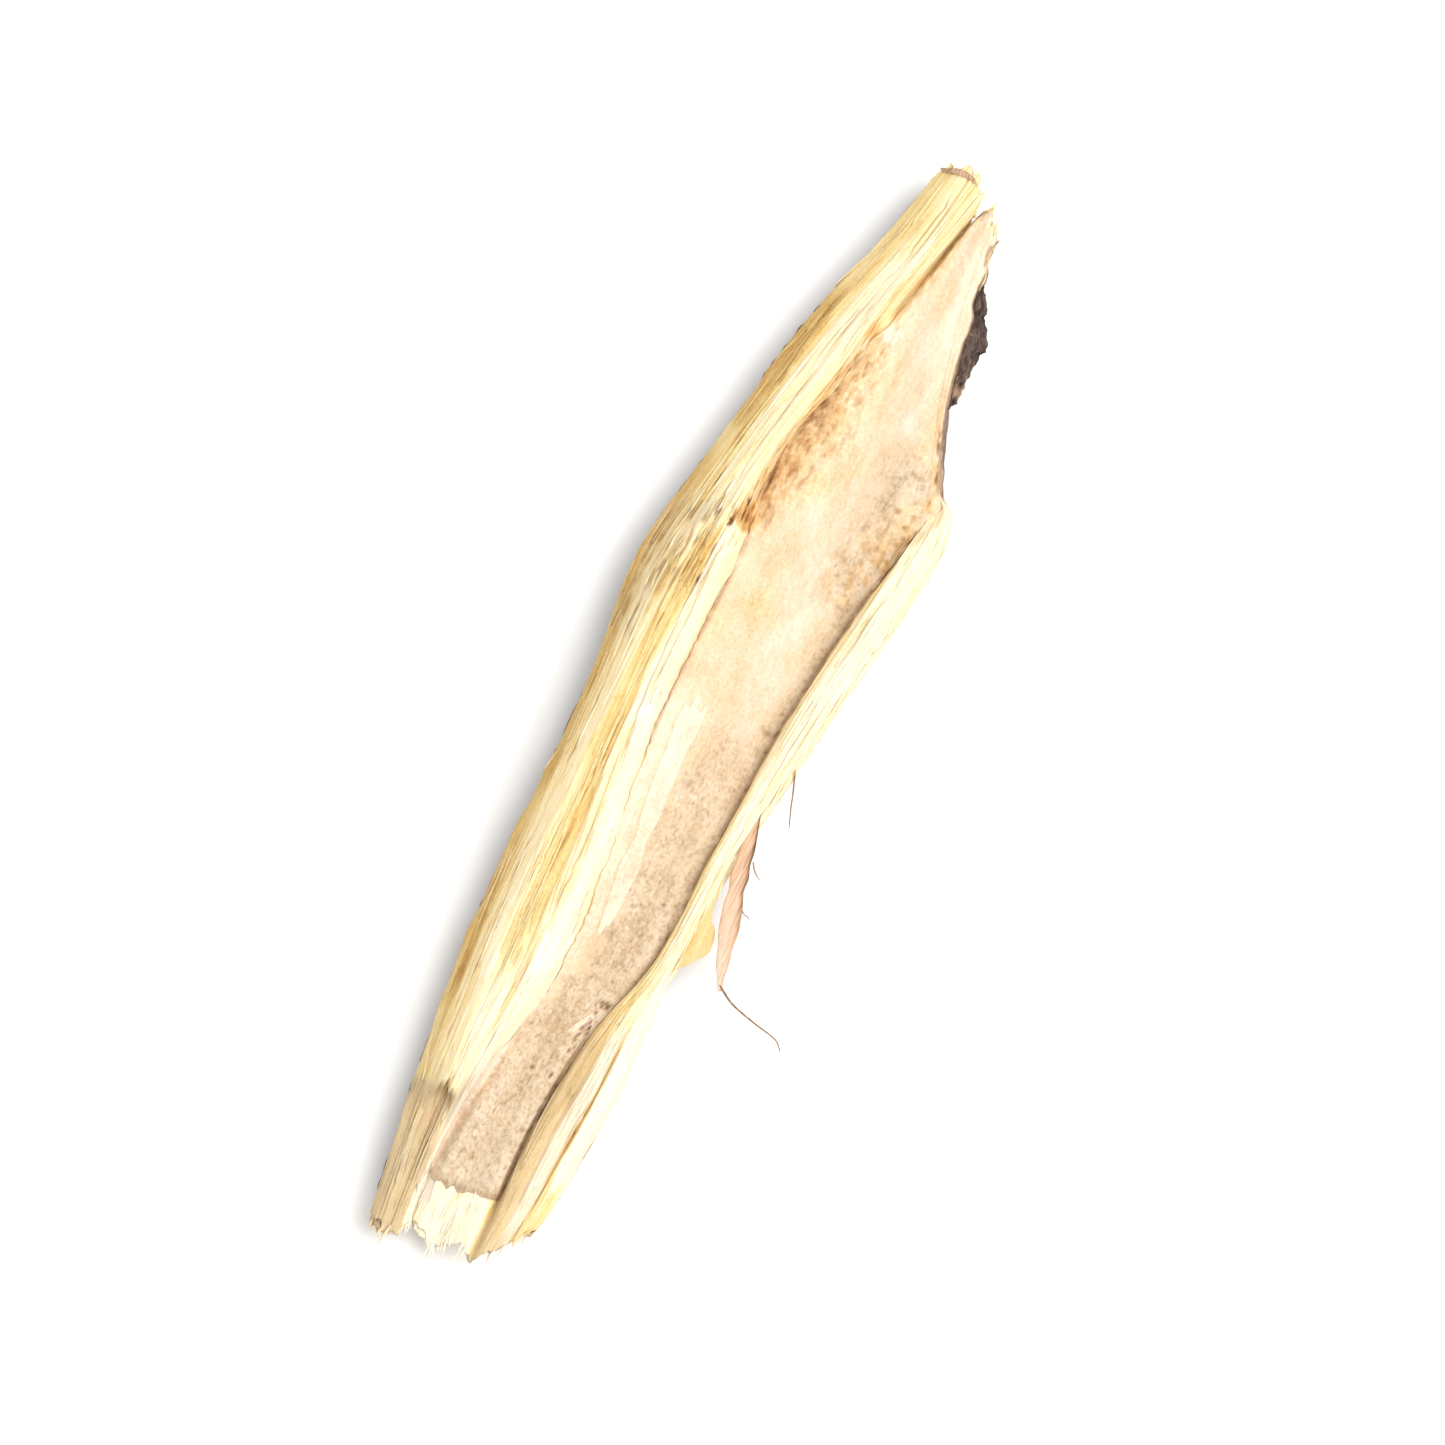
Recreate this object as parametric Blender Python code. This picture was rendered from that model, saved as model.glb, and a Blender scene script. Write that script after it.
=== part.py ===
"""A chip of dried siberian ginseng root.

It is a length of root stock, split lengthwise near its middle. Seen from above, with the upper end
away, a thick wall of wood stands along the left side, soft pith lies in a channel beside it, and a thin
wall of wood lies along the right side. The back is round, as the root was, and is worn to a small flat
spot that the chip rests on. Both ends are torn. A strip of inner bark has peeled from the right edge, and
ends in a hair.

X runs along the chip, from its lower end to its upper end, Y across it, to the left, and Z up. The form is
worked out in millimetres from the chip's lower end, and then moved so that the origin is on the flat spot.
Each line below is a list of (place along, place across or height).
"""
import bmesh
import bpy
import numpy as np

MM = 0.001

# Lines along the chip, seen from above
LEFT_EDGE = [(-0.4, 2.35), (3.9, 2.9), (8.0, 3.17), (14.5, 3.15), (17.75, 3.4), (21.1, 2.8), (24.5, 2.15),
             (27.85, 1.13), (29.9, 0.6)]
LEFT_CREST = [(-0.4, 1.8), (3.2, 2.05), (8.8, 2.35), (13.4, 2.43), (17.4, 2.34), (20.4, 2.0), (23.0, 1.5),
              (25.5, 0.9), (27.8, 0.24), (29.9, -0.1)]
PITH_LEFT = [(-0.4, 1.3), (1.3, 1.4), (4.4, 1.15), (7.0, 0.72), (10.6, 0.8), (14.0, 1.12), (18.6, 1.07),
             (21.8, 1.1), (23.7, 0.55), (26.0, 0.25), (27.8, -0.2), (29.9, -0.75)]
PITH_RIGHT = [(-0.2, -0.42), (4.2, -0.4), (6.85, -0.82), (8.0, -1.2), (11.9, -1.5), (15.5, -1.75),
              (18.8, -2.2), (20.5, -2.45), (21.9, -2.6), (23.2, -2.2), (24.7, -1.75), (27.4, -1.25),
              (29.4, -1.1)]
RIGHT_EDGE = [(-0.1, -1.2), (1.0, -1.56), (3.0, -1.85), (5.0, -2.0), (7.5, -1.9), (9.0, -2.0),
              (11.5, -2.15), (14.15, -2.55), (16.6, -2.9), (19.2, -3.1), (21.6, -3.1), (23.2, -2.65),
              (24.75, -2.15), (25.95, -1.85), (27.4, -1.55), (29.4, -1.45)]
BACK_RIDGE = [(0.0, 0.6), (10.0, 0.5), (20.0, 0.4), (25.0, 0.1), (30.0, -0.35)]

# Heights along the chip
CREST_TOP = [(-0.4, 2.45), (3.5, 2.7), (8.0, 3.0), (14.0, 3.2), (19.0, 3.2), (24.0, 2.85), (28.0, 2.4),
             (30.0, 2.2)]
PITH_FLOOR = [(-0.4, 1.65), (4.0, 1.8), (14.0, 2.0), (20.0, 2.1), (25.0, 2.05), (30.0, 1.85)]
RIGHT_TOP = [(-0.4, 1.9), (5.0, 2.1), (10.0, 2.35), (16.0, 2.55), (22.0, 2.6), (30.0, 2.5)]
LEFT_SIDE = [(-0.4, 1.05), (3.0, 1.15), (8.0, 1.3), (15.0, 1.4), (22.0, 1.35), (30.0, 1.3)]
RIGHT_SIDE = [(-0.4, 0.95), (3.0, 1.05), (8.0, 1.25), (15.0, 1.35), (22.0, 1.45), (30.0, 1.35)]

# Where the five lines stand in the chip's width, from 0 at the left edge to 1 at the right
LEFT_CREST_AT, PITH_LEFT_AT, PITH_RIGHT_AT = 0.16, 0.42, 0.74

# How far the torn ends reach, as (place in the width, place along)
LOWER_END = [(0.0, -0.2), (0.16, -0.4), (0.3, -0.35), (0.42, -0.1), (0.55, -0.25), (0.66, 0.2), (0.74, -0.05),
             (0.82, 0.2), (0.92, 0.7), (1.0, 1.0)]
UPPER_END = [(0.0, 29.6), (0.1, 29.85), (0.3, 29.9), (0.4, 29.55), (0.43, 28.8), (0.48, 29.3), (0.6, 29.4),
             (0.8, 29.1), (1.0, 28.6)]
TEAR = 0.2              # how unevenly the fibres are torn off
TEAR_BUNDLES = 15       # bundles of fibres across the chip, and layers of them through it
TEAR_LAYERS = 4
BACK_TORN_SHORT = 0.35  # the back is torn off shorter than the wood

# Steps, hollows and cracks in the split face
WALL_STEP, WALL_STEP_DROP = 3.5, 0.95       # the left wall's upper layer ends here
RIGHT_WALL_TIP = 21.9                       # the right wall starts at a point here
RIGHT_WALL_SLANT = 2.2                      # its inner side starts this much lower
RIGHT_WALL_STANDS_OUT = 0.35                # and it stands out past the bark edge above it
LOWER_FRACTURE, LOWER_FRACTURE_DROP = 1.5, 0.8
HOLLOW = (19.5, 24.9)                       # the torn hollow beside the left wall
HOLLOW_ACROSS, HOLLOW_DEPTH = 0.385, 0.4
END_CRACK, END_CRACK_DEPTH = 25.7, 0.5      # the crack between the two upper tips
LOWER_GROOVES = (0.745, 0.928)              # beside the strip at the lower right
LOWER_GROOVE_END, LOWER_GROOVE_DEPTH = 6.8, 0.22
INNER_LAYER_END, INNER_LAYER_DROP = 6.3, 0.3

# The back and what the chip rests on
REST_SPOT = (14.7, 0.4)         # the place that the centre of mass is above
MIDDLE = 15.0
BACK_ROUND = 2.3        # how round the back is: 2 is a parabola, more is flatter
BOW_FREE, BOW_RISE = 5.5, 0.35
FLAT_DEPTH = 0.07
SIDE_DEPTH = 0.35       # half the height of the rounded side edges
LEFT_ROUND, RIGHT_ROUND = 0.22, 0.16      # as shares of the walls' slopes beside them
FURROWS, FURROW_DEPTH = 9, 0.06

RIDGES, RIDGE_HEIGHT = 11, 0.05
WAVER = 0.05            # slow unevenness of every face

# The grid of faces: across the chip, through it and along it
CELLS_ACROSS, CELLS_THROUGH, CELLS_ALONG = 38, 5, 46

# The strip of inner bark and its hair: x, y, z and radius
PEELED_STRIP = [(13.4, -2.1, 1.75, 0.14), (12.4, -2.38, 1.8, 0.18), (11.2, -2.52, 1.82, 0.2),
                (10.0, -2.75, 1.75, 0.19), (9.2, -2.98, 1.65, 0.13), (8.6, -3.16, 1.6, 0.07),
                (8.45, -3.6, 1.58, 0.06), (8.25, -4.3, 1.5, 0.06), (8.1, -5.0, 1.48, 0.06),
                (7.9, -5.18, 1.5, 0.05)]

# The flake of dark bark, seen from above
BARK_FLAKE = [(27.45, -1.5), (27.1, -1.85), (26.5, -2.15), (25.95, -2.4), (25.1, -2.35), (24.4, -2.2),
              (24.3, -1.95), (25.3, -1.65), (26.6, -1.3)]
BARK_FLAKE_HEIGHT, BARK_FLAKE_THICK = 1.62, 0.36

# A torn flake of wood below the strip: x, y, z and radius
EDGE_FLAKE = [(11.8, -1.75, 1.5, 0.12), (10.8, -2.05, 1.5, 0.22), (9.9, -2.35, 1.45, 0.2),
              (9.2, -2.6, 1.4, 0.05)]

# Splinters: how many at the lower end, the upper end and the right edge
SPLINTERS = {"lower": 9, "upper": 7, "right": 5}
END_SPLINTER_LENGTH, END_SPLINTER_SUNK, END_SPLINTER_RADIUS = (1.2, 1.7), 1.1, 0.13
SIDE_SPLINTER_LENGTH, SIDE_SPLINTER_SUNK, SIDE_SPLINTER_RADIUS = (2.2, 3.4), 1.0, 0.1
SEED = 11


def line(points, x):
    """A smooth line through points, read at each place x, and carried on straight past its ends."""
    xs, ys = np.array(points).T
    slopes = np.gradient(ys, xs)
    i = np.clip(np.searchsorted(xs, x) - 1, 0, len(xs) - 2)
    step = xs[i + 1] - xs[i]
    t = (x - xs[i]) / step
    inside = np.clip(t, 0, 1)
    bend = inside * inside * (3 - 2 * inside)
    curve = (ys[i] * (1 - bend) + ys[i + 1] * bend
             + step * inside * (1 - inside) * (slopes[i] * (1 - inside) - slopes[i + 1] * inside))
    return curve + (t - inside) * step * np.where(t < 0, slopes[i], slopes[i + 1])


def section(knots, heights, u):
    """A smooth section through heights at the knots, read at each place u in the width."""
    knots = np.array(knots)
    z = np.stack(heights)
    slopes = np.empty_like(z)
    slopes[1:-1] = (z[2:] - z[:-2]) / (knots[2:] - knots[:-2])[:, None]
    slopes[0] = (z[1] - z[0]) / (knots[1] - knots[0])
    slopes[-1] = (z[-1] - z[-2]) / (knots[-1] - knots[-2])
    i = np.clip(np.searchsorted(knots, u) - 1, 0, len(knots) - 2)
    point = np.arange(len(u))
    step = knots[i + 1] - knots[i]
    t = (u - knots[i]) / step
    bend = t * t * (3 - 2 * t)
    return (z[i, point] * (1 - bend) + z[i + 1, point] * bend
            + step * t * (1 - t) * (slopes[i, point] * (1 - t) - slopes[i + 1, point] * t))


def rise(x, start, end):
    """0 before start and 1 after end, with a smooth rise between them."""
    t = np.clip((x - start) / (end - start), 0, 1)
    return t * t * (3 - 2 * t)


def near(x, centre, reach):
    """1 at the centre, falling smoothly to 0 at a reach either side of it."""
    return 1 - rise(np.abs(x - centre), 0, reach)


def waver(x, y, seed):
    """Slow seeded unevenness, from about -1 to 1, drawn out along the grain."""
    random = np.random.default_rng(seed)
    total = 0
    for _ in range(5):
        along, across = random.uniform(0.15, 0.8), random.uniform(1.0, 3.0)
        total = total + np.sin(along * x + across * y + random.uniform(0, 2 * np.pi))
    return total / 3


def tear(u, v, seed):
    """How far each bundle of fibres stands out at a torn end, from -1 to 1."""
    lengths = np.random.default_rng(seed).uniform(-1, 1, (TEAR_BUNDLES + 1, TEAR_LAYERS + 1))
    bundle, layer = u * TEAR_BUNDLES, v * TEAR_LAYERS
    i = np.clip(bundle.astype(int), 0, TEAR_BUNDLES - 1)
    j = np.clip(layer.astype(int), 0, TEAR_LAYERS - 1)
    across, through = bundle - i, layer - j
    low = lengths[i, j] * (1 - through) + lengths[i, j + 1] * through
    high = lengths[i + 1, j] * (1 - through) + lengths[i + 1, j + 1] * through
    return low * (1 - across) + high * across


def place_along(u, v, s):
    """The place along the chip of a point at s of the way from one torn end to the other."""
    short = BACK_TORN_SHORT * (1 - v)
    lower = line(LOWER_END, u) + TEAR * tear(u, v, SEED) + short
    upper = line(UPPER_END, u) + TEAR * tear(u, v, SEED + 1) - short
    return lower + s * (upper - lower)


def place_across(u, v, x):
    """The place across the chip, between its lines, with the two sides rounded."""
    stands_out = rise(x, RIGHT_WALL_TIP - 6, RIGHT_WALL_TIP - 1)
    stands_out = stands_out * (1 - rise(x, RIGHT_WALL_TIP, RIGHT_WALL_TIP + 0.4))
    right = line(RIGHT_EDGE, x) - RIGHT_WALL_STANDS_OUT * stands_out
    lines = [line(LEFT_EDGE, x), line(LEFT_CREST, x), line(PITH_LEFT, x), line(PITH_RIGHT, x), right]
    knots = [0, LEFT_CREST_AT, PITH_LEFT_AT, PITH_RIGHT_AT, 1]
    y = np.zeros_like(x)
    for k in range(len(knots) - 1):
        t = np.clip((u - knots[k]) / (knots[k + 1] - knots[k]), 0, 1)
        y = np.where((u >= knots[k]) & (u <= knots[k + 1]), lines[k] * (1 - t) + lines[k + 1] * t, y)
    rounding = (2 * v - 1) ** 2
    left_in = LEFT_ROUND * (lines[0] - lines[1]) * near(u, 0, 0.08)
    right_in = RIGHT_ROUND * (lines[3] - lines[4]) * near(u, 1, 0.1)
    return y + rounding * (right_in - left_in)


def face_height(u, x, y):
    """The height of the split face: two walls of wood with the pith between them."""
    crest = line(CREST_TOP, x) - WALL_STEP_DROP * (1 - rise(x, WALL_STEP - 0.25, WALL_STEP + 0.25))
    pith = line(PITH_FLOOR, x)
    tip = RIGHT_WALL_TIP - RIGHT_WALL_SLANT * (1 - rise(u, PITH_RIGHT_AT, 0.95))
    walled = 1 - rise(x, tip - 0.4, tip + 0.3)
    right = pith - 0.05 + walled * (line(RIGHT_TOP, x) - pith + 0.05)
    left_low = np.minimum(line(LEFT_SIDE, x) + SIDE_DEPTH, crest - 0.1)
    right_low = np.minimum(line(RIGHT_SIDE, x) + SIDE_DEPTH, right - 0.1)

    def between(low, high, share):
        return low + (high - low) * share

    knots = [0, 0.05, 0.11, LEFT_CREST_AT, 0.25, 0.33, 0.38, PITH_LEFT_AT, 0.47, 0.58, 0.69, PITH_RIGHT_AT,
             0.775, 0.82, 0.93, 1]
    heights = [left_low, between(left_low, crest, 0.5), between(left_low, crest, 0.82), crest - 0.05, crest,
               crest - 0.08, between(pith, crest, 0.6), between(pith, crest, 0.15), pith, pith - 0.1, pith,
               pith - 0.06, between(pith, right, 0.9), right, between(right_low, right, 0.85), right_low]
    z = section(knots, heights, u)

    hollow = rise(x, HOLLOW[0] - 0.1, HOLLOW[0] + 0.2) * (1 - rise(x, HOLLOW[1] - 3.0, HOLLOW[1]))
    z = z - HOLLOW_DEPTH * hollow * near(u, HOLLOW_ACROSS, 0.09)
    crack = rise(x, END_CRACK, 29.5)
    z = z - END_CRACK_DEPTH * crack * near(u, PITH_LEFT_AT + 0.01, 0.035)
    for groove in LOWER_GROOVES:
        lower = 1 - rise(x, LOWER_GROOVE_END - 1, LOWER_GROOVE_END)
        z = z - LOWER_GROOVE_DEPTH * lower * near(u, groove, 0.035)
    layer = 1 - rise(x, INNER_LAYER_END - 1.2, INNER_LAYER_END)
    z = z - INNER_LAYER_DROP * layer * near(u, PITH_LEFT_AT - 0.03, 0.07)
    fracture = np.clip((LOWER_FRACTURE - x) / (LOWER_FRACTURE + 0.4), 0, 1)
    z = z - LOWER_FRACTURE_DROP * fracture * near(u, 0.5, 0.3)

    wood = near(u, 0.22, 0.22)
    z = z + RIDGE_HEIGHT * wood * np.cos(2 * np.pi * RIDGES * u + 0.8 * waver(x, 0, SEED + 2))
    return z + WAVER * waver(x, y, SEED + 3) * near(u, 0.5, 0.52)


def back_height(u, x, y):
    """The height of the round back, with its furrows and the flat spot that the chip rests on."""
    ridge = line(BACK_RIDGE, x)
    left, right = line(LEFT_EDGE, x), line(RIGHT_EDGE, x)
    away = np.where(y > ridge, (y - ridge) / (left - ridge), (ridge - y) / (ridge - right))
    away = np.clip(away, 0, 1)
    edge = np.where(y > ridge, line(LEFT_SIDE, x), line(RIGHT_SIDE, x)) - SIDE_DEPTH
    beyond = np.maximum(np.abs(x - MIDDLE) - BOW_FREE, 0) / (MIDDLE - BOW_FREE)
    floor = BOW_RISE * beyond ** 2 - FLAT_DEPTH
    furrow = FURROW_DEPTH * np.cos(2 * np.pi * FURROWS * u + waver(x, 0, SEED + 4))
    furrowed = rise(away, 0.15, 0.4) * (1 - rise(away, 0.85, 1))
    z = floor + (edge - floor) * away ** BACK_ROUND + furrow * furrowed
    return np.maximum(z, 0)


def chip_point(u, v, s):
    """A point of the chip: u is its place from left to right, v from back to face, s from end to end."""
    x = place_along(u, v, s)
    y = place_across(u, v, x)
    back, face = back_height(u, x, y), face_height(u, x, y)
    return np.stack([x, y, back + v * (face - back)], axis=1)


def collection(name):
    made = bpy.data.collections.new(name)
    bpy.context.scene.collection.children.link(made)
    return made


def material(name, colour, roughness):
    made = bpy.data.materials.new(name)
    made.use_nodes = True
    shader = made.node_tree.nodes["Principled BSDF"]
    shader.inputs["Base Color"].default_value = (*colour, 1)
    shader.inputs["Roughness"].default_value = roughness
    return made


def make_body(into):
    """The chip without its loose fibres: a block, divided along its grain and shaped by chip_point."""
    mesh = bpy.data.meshes.new("root_chip")
    block = bmesh.new()
    bmesh.ops.create_cube(block, size=1)
    for axis, cells in enumerate((CELLS_ACROSS, CELLS_THROUGH, CELLS_ALONG)):
        edges = [e for e in block.edges if abs(e.verts[0].co[axis] - e.verts[1].co[axis]) > 0.5]
        bmesh.ops.subdivide_edges(block, edges=edges, cuts=cells - 1, use_grid_fill=True)
    unit = np.array([v.co for v in block.verts], dtype=float) + 0.5
    for vert, point in zip(block.verts, chip_point(*unit.T) * MM):
        vert.co = point
    bmesh.ops.triangulate(block, faces=block.faces)
    bmesh.ops.recalc_face_normals(block, faces=block.faces)
    block.to_mesh(mesh)
    block.free()
    body = bpy.data.objects.new("root_chip", mesh)
    into.objects.link(body)
    return body


def fixed_mesh(curve_object):
    """The curve object's shape as a closed mesh object that a Boolean can join."""
    graph = bpy.context.evaluated_depsgraph_get()
    mesh = bpy.data.meshes.new_from_object(curve_object.evaluated_get(graph))
    welded = bmesh.new()
    welded.from_mesh(mesh)
    bmesh.ops.remove_doubles(welded, verts=welded.verts, dist=0.000001)
    bmesh.ops.recalc_face_normals(welded, faces=welded.faces)
    welded.to_mesh(mesh)
    welded.free()
    made = bpy.data.objects.new(curve_object.name, mesh)
    made.matrix_world = curve_object.matrix_world
    curve_object.users_collection[0].objects.link(made)
    bpy.data.objects.remove(curve_object)
    return made


def make_fibre(name, points, into):
    """A tapering fibre with four sides, through points of x, y, z and radius."""
    curve = bpy.data.curves.new(name, "CURVE")
    curve.dimensions = "3D"
    curve.bevel_depth = MM
    curve.bevel_resolution = 0
    curve.use_fill_caps = True
    spline = curve.splines.new("POLY")
    spline.points.add(len(points) - 1)
    for point, (x, y, z, radius) in zip(spline.points, points):
        point.co = (x * MM, y * MM, z * MM, 1)
        point.radius = radius
    fibre = bpy.data.objects.new(name, curve)
    into.objects.link(fibre)
    return fixed_mesh(fibre)


def make_flake(into):
    """The flake of dark bark at the upper right edge."""
    curve = bpy.data.curves.new("bark_flake", "CURVE")
    curve.dimensions = "2D"
    curve.fill_mode = "BOTH"
    curve.extrude = BARK_FLAKE_THICK / 2 * MM
    spline = curve.splines.new("POLY")
    spline.points.add(len(BARK_FLAKE) - 1)
    for point, (x, y) in zip(spline.points, BARK_FLAKE):
        point.co = (x * MM, y * MM, 0, 1)
    spline.use_cyclic_u = True
    flake = bpy.data.objects.new("bark_flake", curve)
    flake.location.z = BARK_FLAKE_HEIGHT * MM
    into.objects.link(flake)
    bpy.context.view_layer.update()
    return fixed_mesh(flake)


def make_splinters(into):
    """Torn fibres that stand out a little from the ends and the right edge."""
    random = np.random.default_rng(SEED + 5)
    for side, count in SPLINTERS.items():
        for k in range(count):
            share = (k + random.uniform(0.1, 0.9)) / count
            if side in ("lower", "upper"):
                u, v, s = 0.04 + 0.9 * share, random.uniform(0.4, 0.8), float(side == "upper")
                way = np.array([2 * s - 1, random.uniform(-0.12, 0.12), random.uniform(-0.05, 0.1)])
                length, sunk = random.uniform(*END_SPLINTER_LENGTH), END_SPLINTER_SUNK
                thick = END_SPLINTER_RADIUS
            else:
                u, v, s = 1.0, random.uniform(0.35, 0.75), 0.08 + 0.84 * share
                way = np.array([random.choice([-1, 1]), -random.uniform(0.08, 0.16), random.uniform(0, 0.06)])
                length, sunk = random.uniform(*SIDE_SPLINTER_LENGTH), SIDE_SPLINTER_SUNK
                thick = SIDE_SPLINTER_RADIUS
            surface = chip_point(np.array([u]), np.array([v]), np.array([s]))[0]
            points = []
            for t, radius in ((0, 0.7), (0.35, 1), (0.7, 0.7), (1, 0.3)):
                x, y, z = surface + way * (length * t - sunk)
                points.append((x, y, z, thick * radius))
            make_fibre(f"{side}_splinter_{k + 1}", points, into)


def join(body, loose):
    """Joins everything in the loose collection to the body, and then removes the loose objects."""
    union = body.modifiers.new("join", "BOOLEAN")
    union.operation = "UNION"
    union.operand_type = "COLLECTION"
    union.collection = loose
    union.solver = "EXACT"
    graph = bpy.context.evaluated_depsgraph_get()
    joined = bpy.data.meshes.new_from_object(body.evaluated_get(graph))
    body.modifiers.clear()
    body.data = joined
    joined.name = "root_chip"
    for obj in list(loose.objects):
        bpy.data.objects.remove(obj)
    bpy.data.collections.remove(loose)


def place(body):
    """Moves the mesh so that the origin is on the flat spot, under the chip's centre of mass."""
    for vert in body.data.vertices:
        vert.co.x -= REST_SPOT[0] * MM
        vert.co.y -= REST_SPOT[1] * MM


def main():
    for obj in list(bpy.data.objects):
        bpy.data.objects.remove(obj)
    parts = collection("siberian_ginseng_root")
    loose = collection("loose_fibres")
    body = make_body(parts)
    make_fibre("peeled_strip", PEELED_STRIP, loose)
    make_fibre("edge_flake", EDGE_FLAKE, loose)
    make_flake(loose)
    make_splinters(loose)
    join(body, loose)
    place(body)
    body.data.materials.clear()
    body.data.materials.append(material("dried root wood", (0.76, 0.56, 0.30), 0.8))


main()
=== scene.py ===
"""The looks of a chip of dried siberian ginseng root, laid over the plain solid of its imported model.

The chip is a length of root stock that was split near its middle. From above, with the upper end away, a
thick wall of wood stands on the left, soft pith lies beside it, and a thin wall of wood lies on the right.
Bark is left on the round back. Forms are worked out in millimetres: x along the chip from its lower end,
y across it to the left, and z up from what it rests on. A place in the width, u, runs from 0 at the left
edge to 1 at the right, v from 0 at the back to 1 at the split face, and s from the lower end to the upper.
"""

from functools import cache

import bpy
import numpy as np
from mathutils import Matrix, Vector


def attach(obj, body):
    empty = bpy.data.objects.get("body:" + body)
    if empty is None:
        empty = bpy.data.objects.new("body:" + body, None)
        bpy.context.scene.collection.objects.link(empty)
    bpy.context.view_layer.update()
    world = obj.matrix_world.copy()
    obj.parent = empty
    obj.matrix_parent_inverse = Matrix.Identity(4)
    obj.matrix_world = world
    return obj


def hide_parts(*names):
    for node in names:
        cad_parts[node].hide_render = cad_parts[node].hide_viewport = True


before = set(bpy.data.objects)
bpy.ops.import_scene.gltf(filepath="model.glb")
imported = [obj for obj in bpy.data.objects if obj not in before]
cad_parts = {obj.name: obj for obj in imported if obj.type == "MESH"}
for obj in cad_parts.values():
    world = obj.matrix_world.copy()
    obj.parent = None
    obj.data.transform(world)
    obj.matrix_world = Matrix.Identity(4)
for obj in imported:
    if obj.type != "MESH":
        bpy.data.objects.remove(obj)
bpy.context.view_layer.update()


# The split wood.
# It is dense pale root wood, split along its grain: its face is bundles of fibres, with layers that broke off
# short. It is the body of the chip, and the pith and the bark have grown on it.

MM = 0.001
REST_SPOT = (14.7, 0.4, 0)      # the frame's origin is on the spot that the chip rests on
FACE_WIDTH = 6.2                # across the split face, for the widths of what runs along it
SIDE_HEIGHT = 2.2               # up a side of it, for the same

# Lines along the chip, seen from above: place along, place across
LEFT_EDGE = [(-0.4, 2.35), (3.9, 2.9), (8.0, 3.17), (14.5, 3.15), (17.75, 3.4), (21.1, 2.8), (24.5, 2.15),
             (27.85, 1.13), (29.9, 0.6)]
LEFT_CREST = [(-0.4, 1.8), (3.2, 2.05), (8.8, 2.35), (13.4, 2.43), (17.4, 2.34), (20.4, 2.0), (23.0, 1.5),
              (25.5, 0.9), (27.8, 0.24), (29.9, -0.1)]
PITH_LEFT = [(-0.4, 1.3), (1.3, 1.4), (4.4, 1.15), (7.0, 0.72), (10.6, 0.8), (14.0, 1.12), (18.6, 1.07),
             (21.8, 1.1), (23.7, 0.55), (26.0, 0.25), (27.8, -0.2), (29.9, -0.75)]
PITH_RIGHT = [(-0.2, -0.42), (4.2, -0.4), (6.85, -0.82), (8.0, -1.2), (11.9, -1.5), (15.5, -1.75),
              (18.8, -2.2), (20.5, -2.45), (21.9, -2.6), (23.2, -2.2), (24.7, -1.75), (27.4, -1.25),
              (29.4, -1.1)]
RIGHT_EDGE = [(-0.1, -1.2), (1.0, -1.56), (3.0, -1.85), (5.0, -2.0), (7.5, -1.9), (9.0, -2.0),
              (11.5, -2.15), (14.15, -2.55), (16.6, -2.9), (19.2, -3.1), (21.6, -3.1), (23.2, -2.52),
              (24.75, -2.1), (25.95, -1.85), (27.4, -1.55), (29.4, -1.45)]
BACK_RIDGE = [(0.0, 0.6), (10.0, 0.5), (20.0, 0.4), (25.0, 0.1), (30.0, -0.35)]

# Heights along the chip
CREST_TOP = [(-0.4, 2.45), (3.5, 2.7), (8.0, 3.0), (14.0, 3.2), (19.0, 3.2), (24.0, 2.85), (28.0, 2.4),
             (30.0, 2.2)]
PITH_FLOOR = [(-0.4, 1.65), (4.0, 1.8), (14.0, 2.0), (20.0, 2.1), (25.0, 2.05), (30.0, 1.85)]
RIGHT_TOP = [(-0.4, 1.9), (5.0, 2.1), (10.0, 2.35), (16.0, 2.55), (22.0, 2.6), (30.0, 2.5)]
LEFT_SIDE = [(-0.4, 1.05), (3.0, 1.15), (8.0, 1.3), (15.0, 1.4), (22.0, 1.35), (30.0, 1.3)]
RIGHT_SIDE = [(-0.4, 0.95), (3.0, 1.05), (8.0, 1.25), (15.0, 1.35), (22.0, 1.45), (30.0, 1.35)]

# Where the crest and the pith's two sides stand in the width
LEFT_CREST_AT, PITH_LEFT_AT, PITH_RIGHT_AT = 0.16, 0.42, 0.74

# How far the torn ends reach: place in the width, place along
LOWER_END = [(0.0, -0.42), (0.16, -0.42), (0.3, -0.35), (0.42, -0.1), (0.55, -0.25), (0.66, 0.2),
             (0.74, -0.05), (0.82, 0.2), (0.92, 0.7), (1.0, 1.0)]
UPPER_END = [(0.0, 29.75), (0.1, 29.85), (0.3, 29.7), (0.42, 29.4), (0.47, 29.15), (0.5, 28.7), (0.54, 29.05),
             (0.6, 29.25), (0.8, 28.95), (1.0, 28.5)]
TEARS = [(15, 4, 0.18), (57, 13, 0.07)]         # bundles across, layers through, how unevenly torn off
BACK_TORN_SHORT = 0.35

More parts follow.
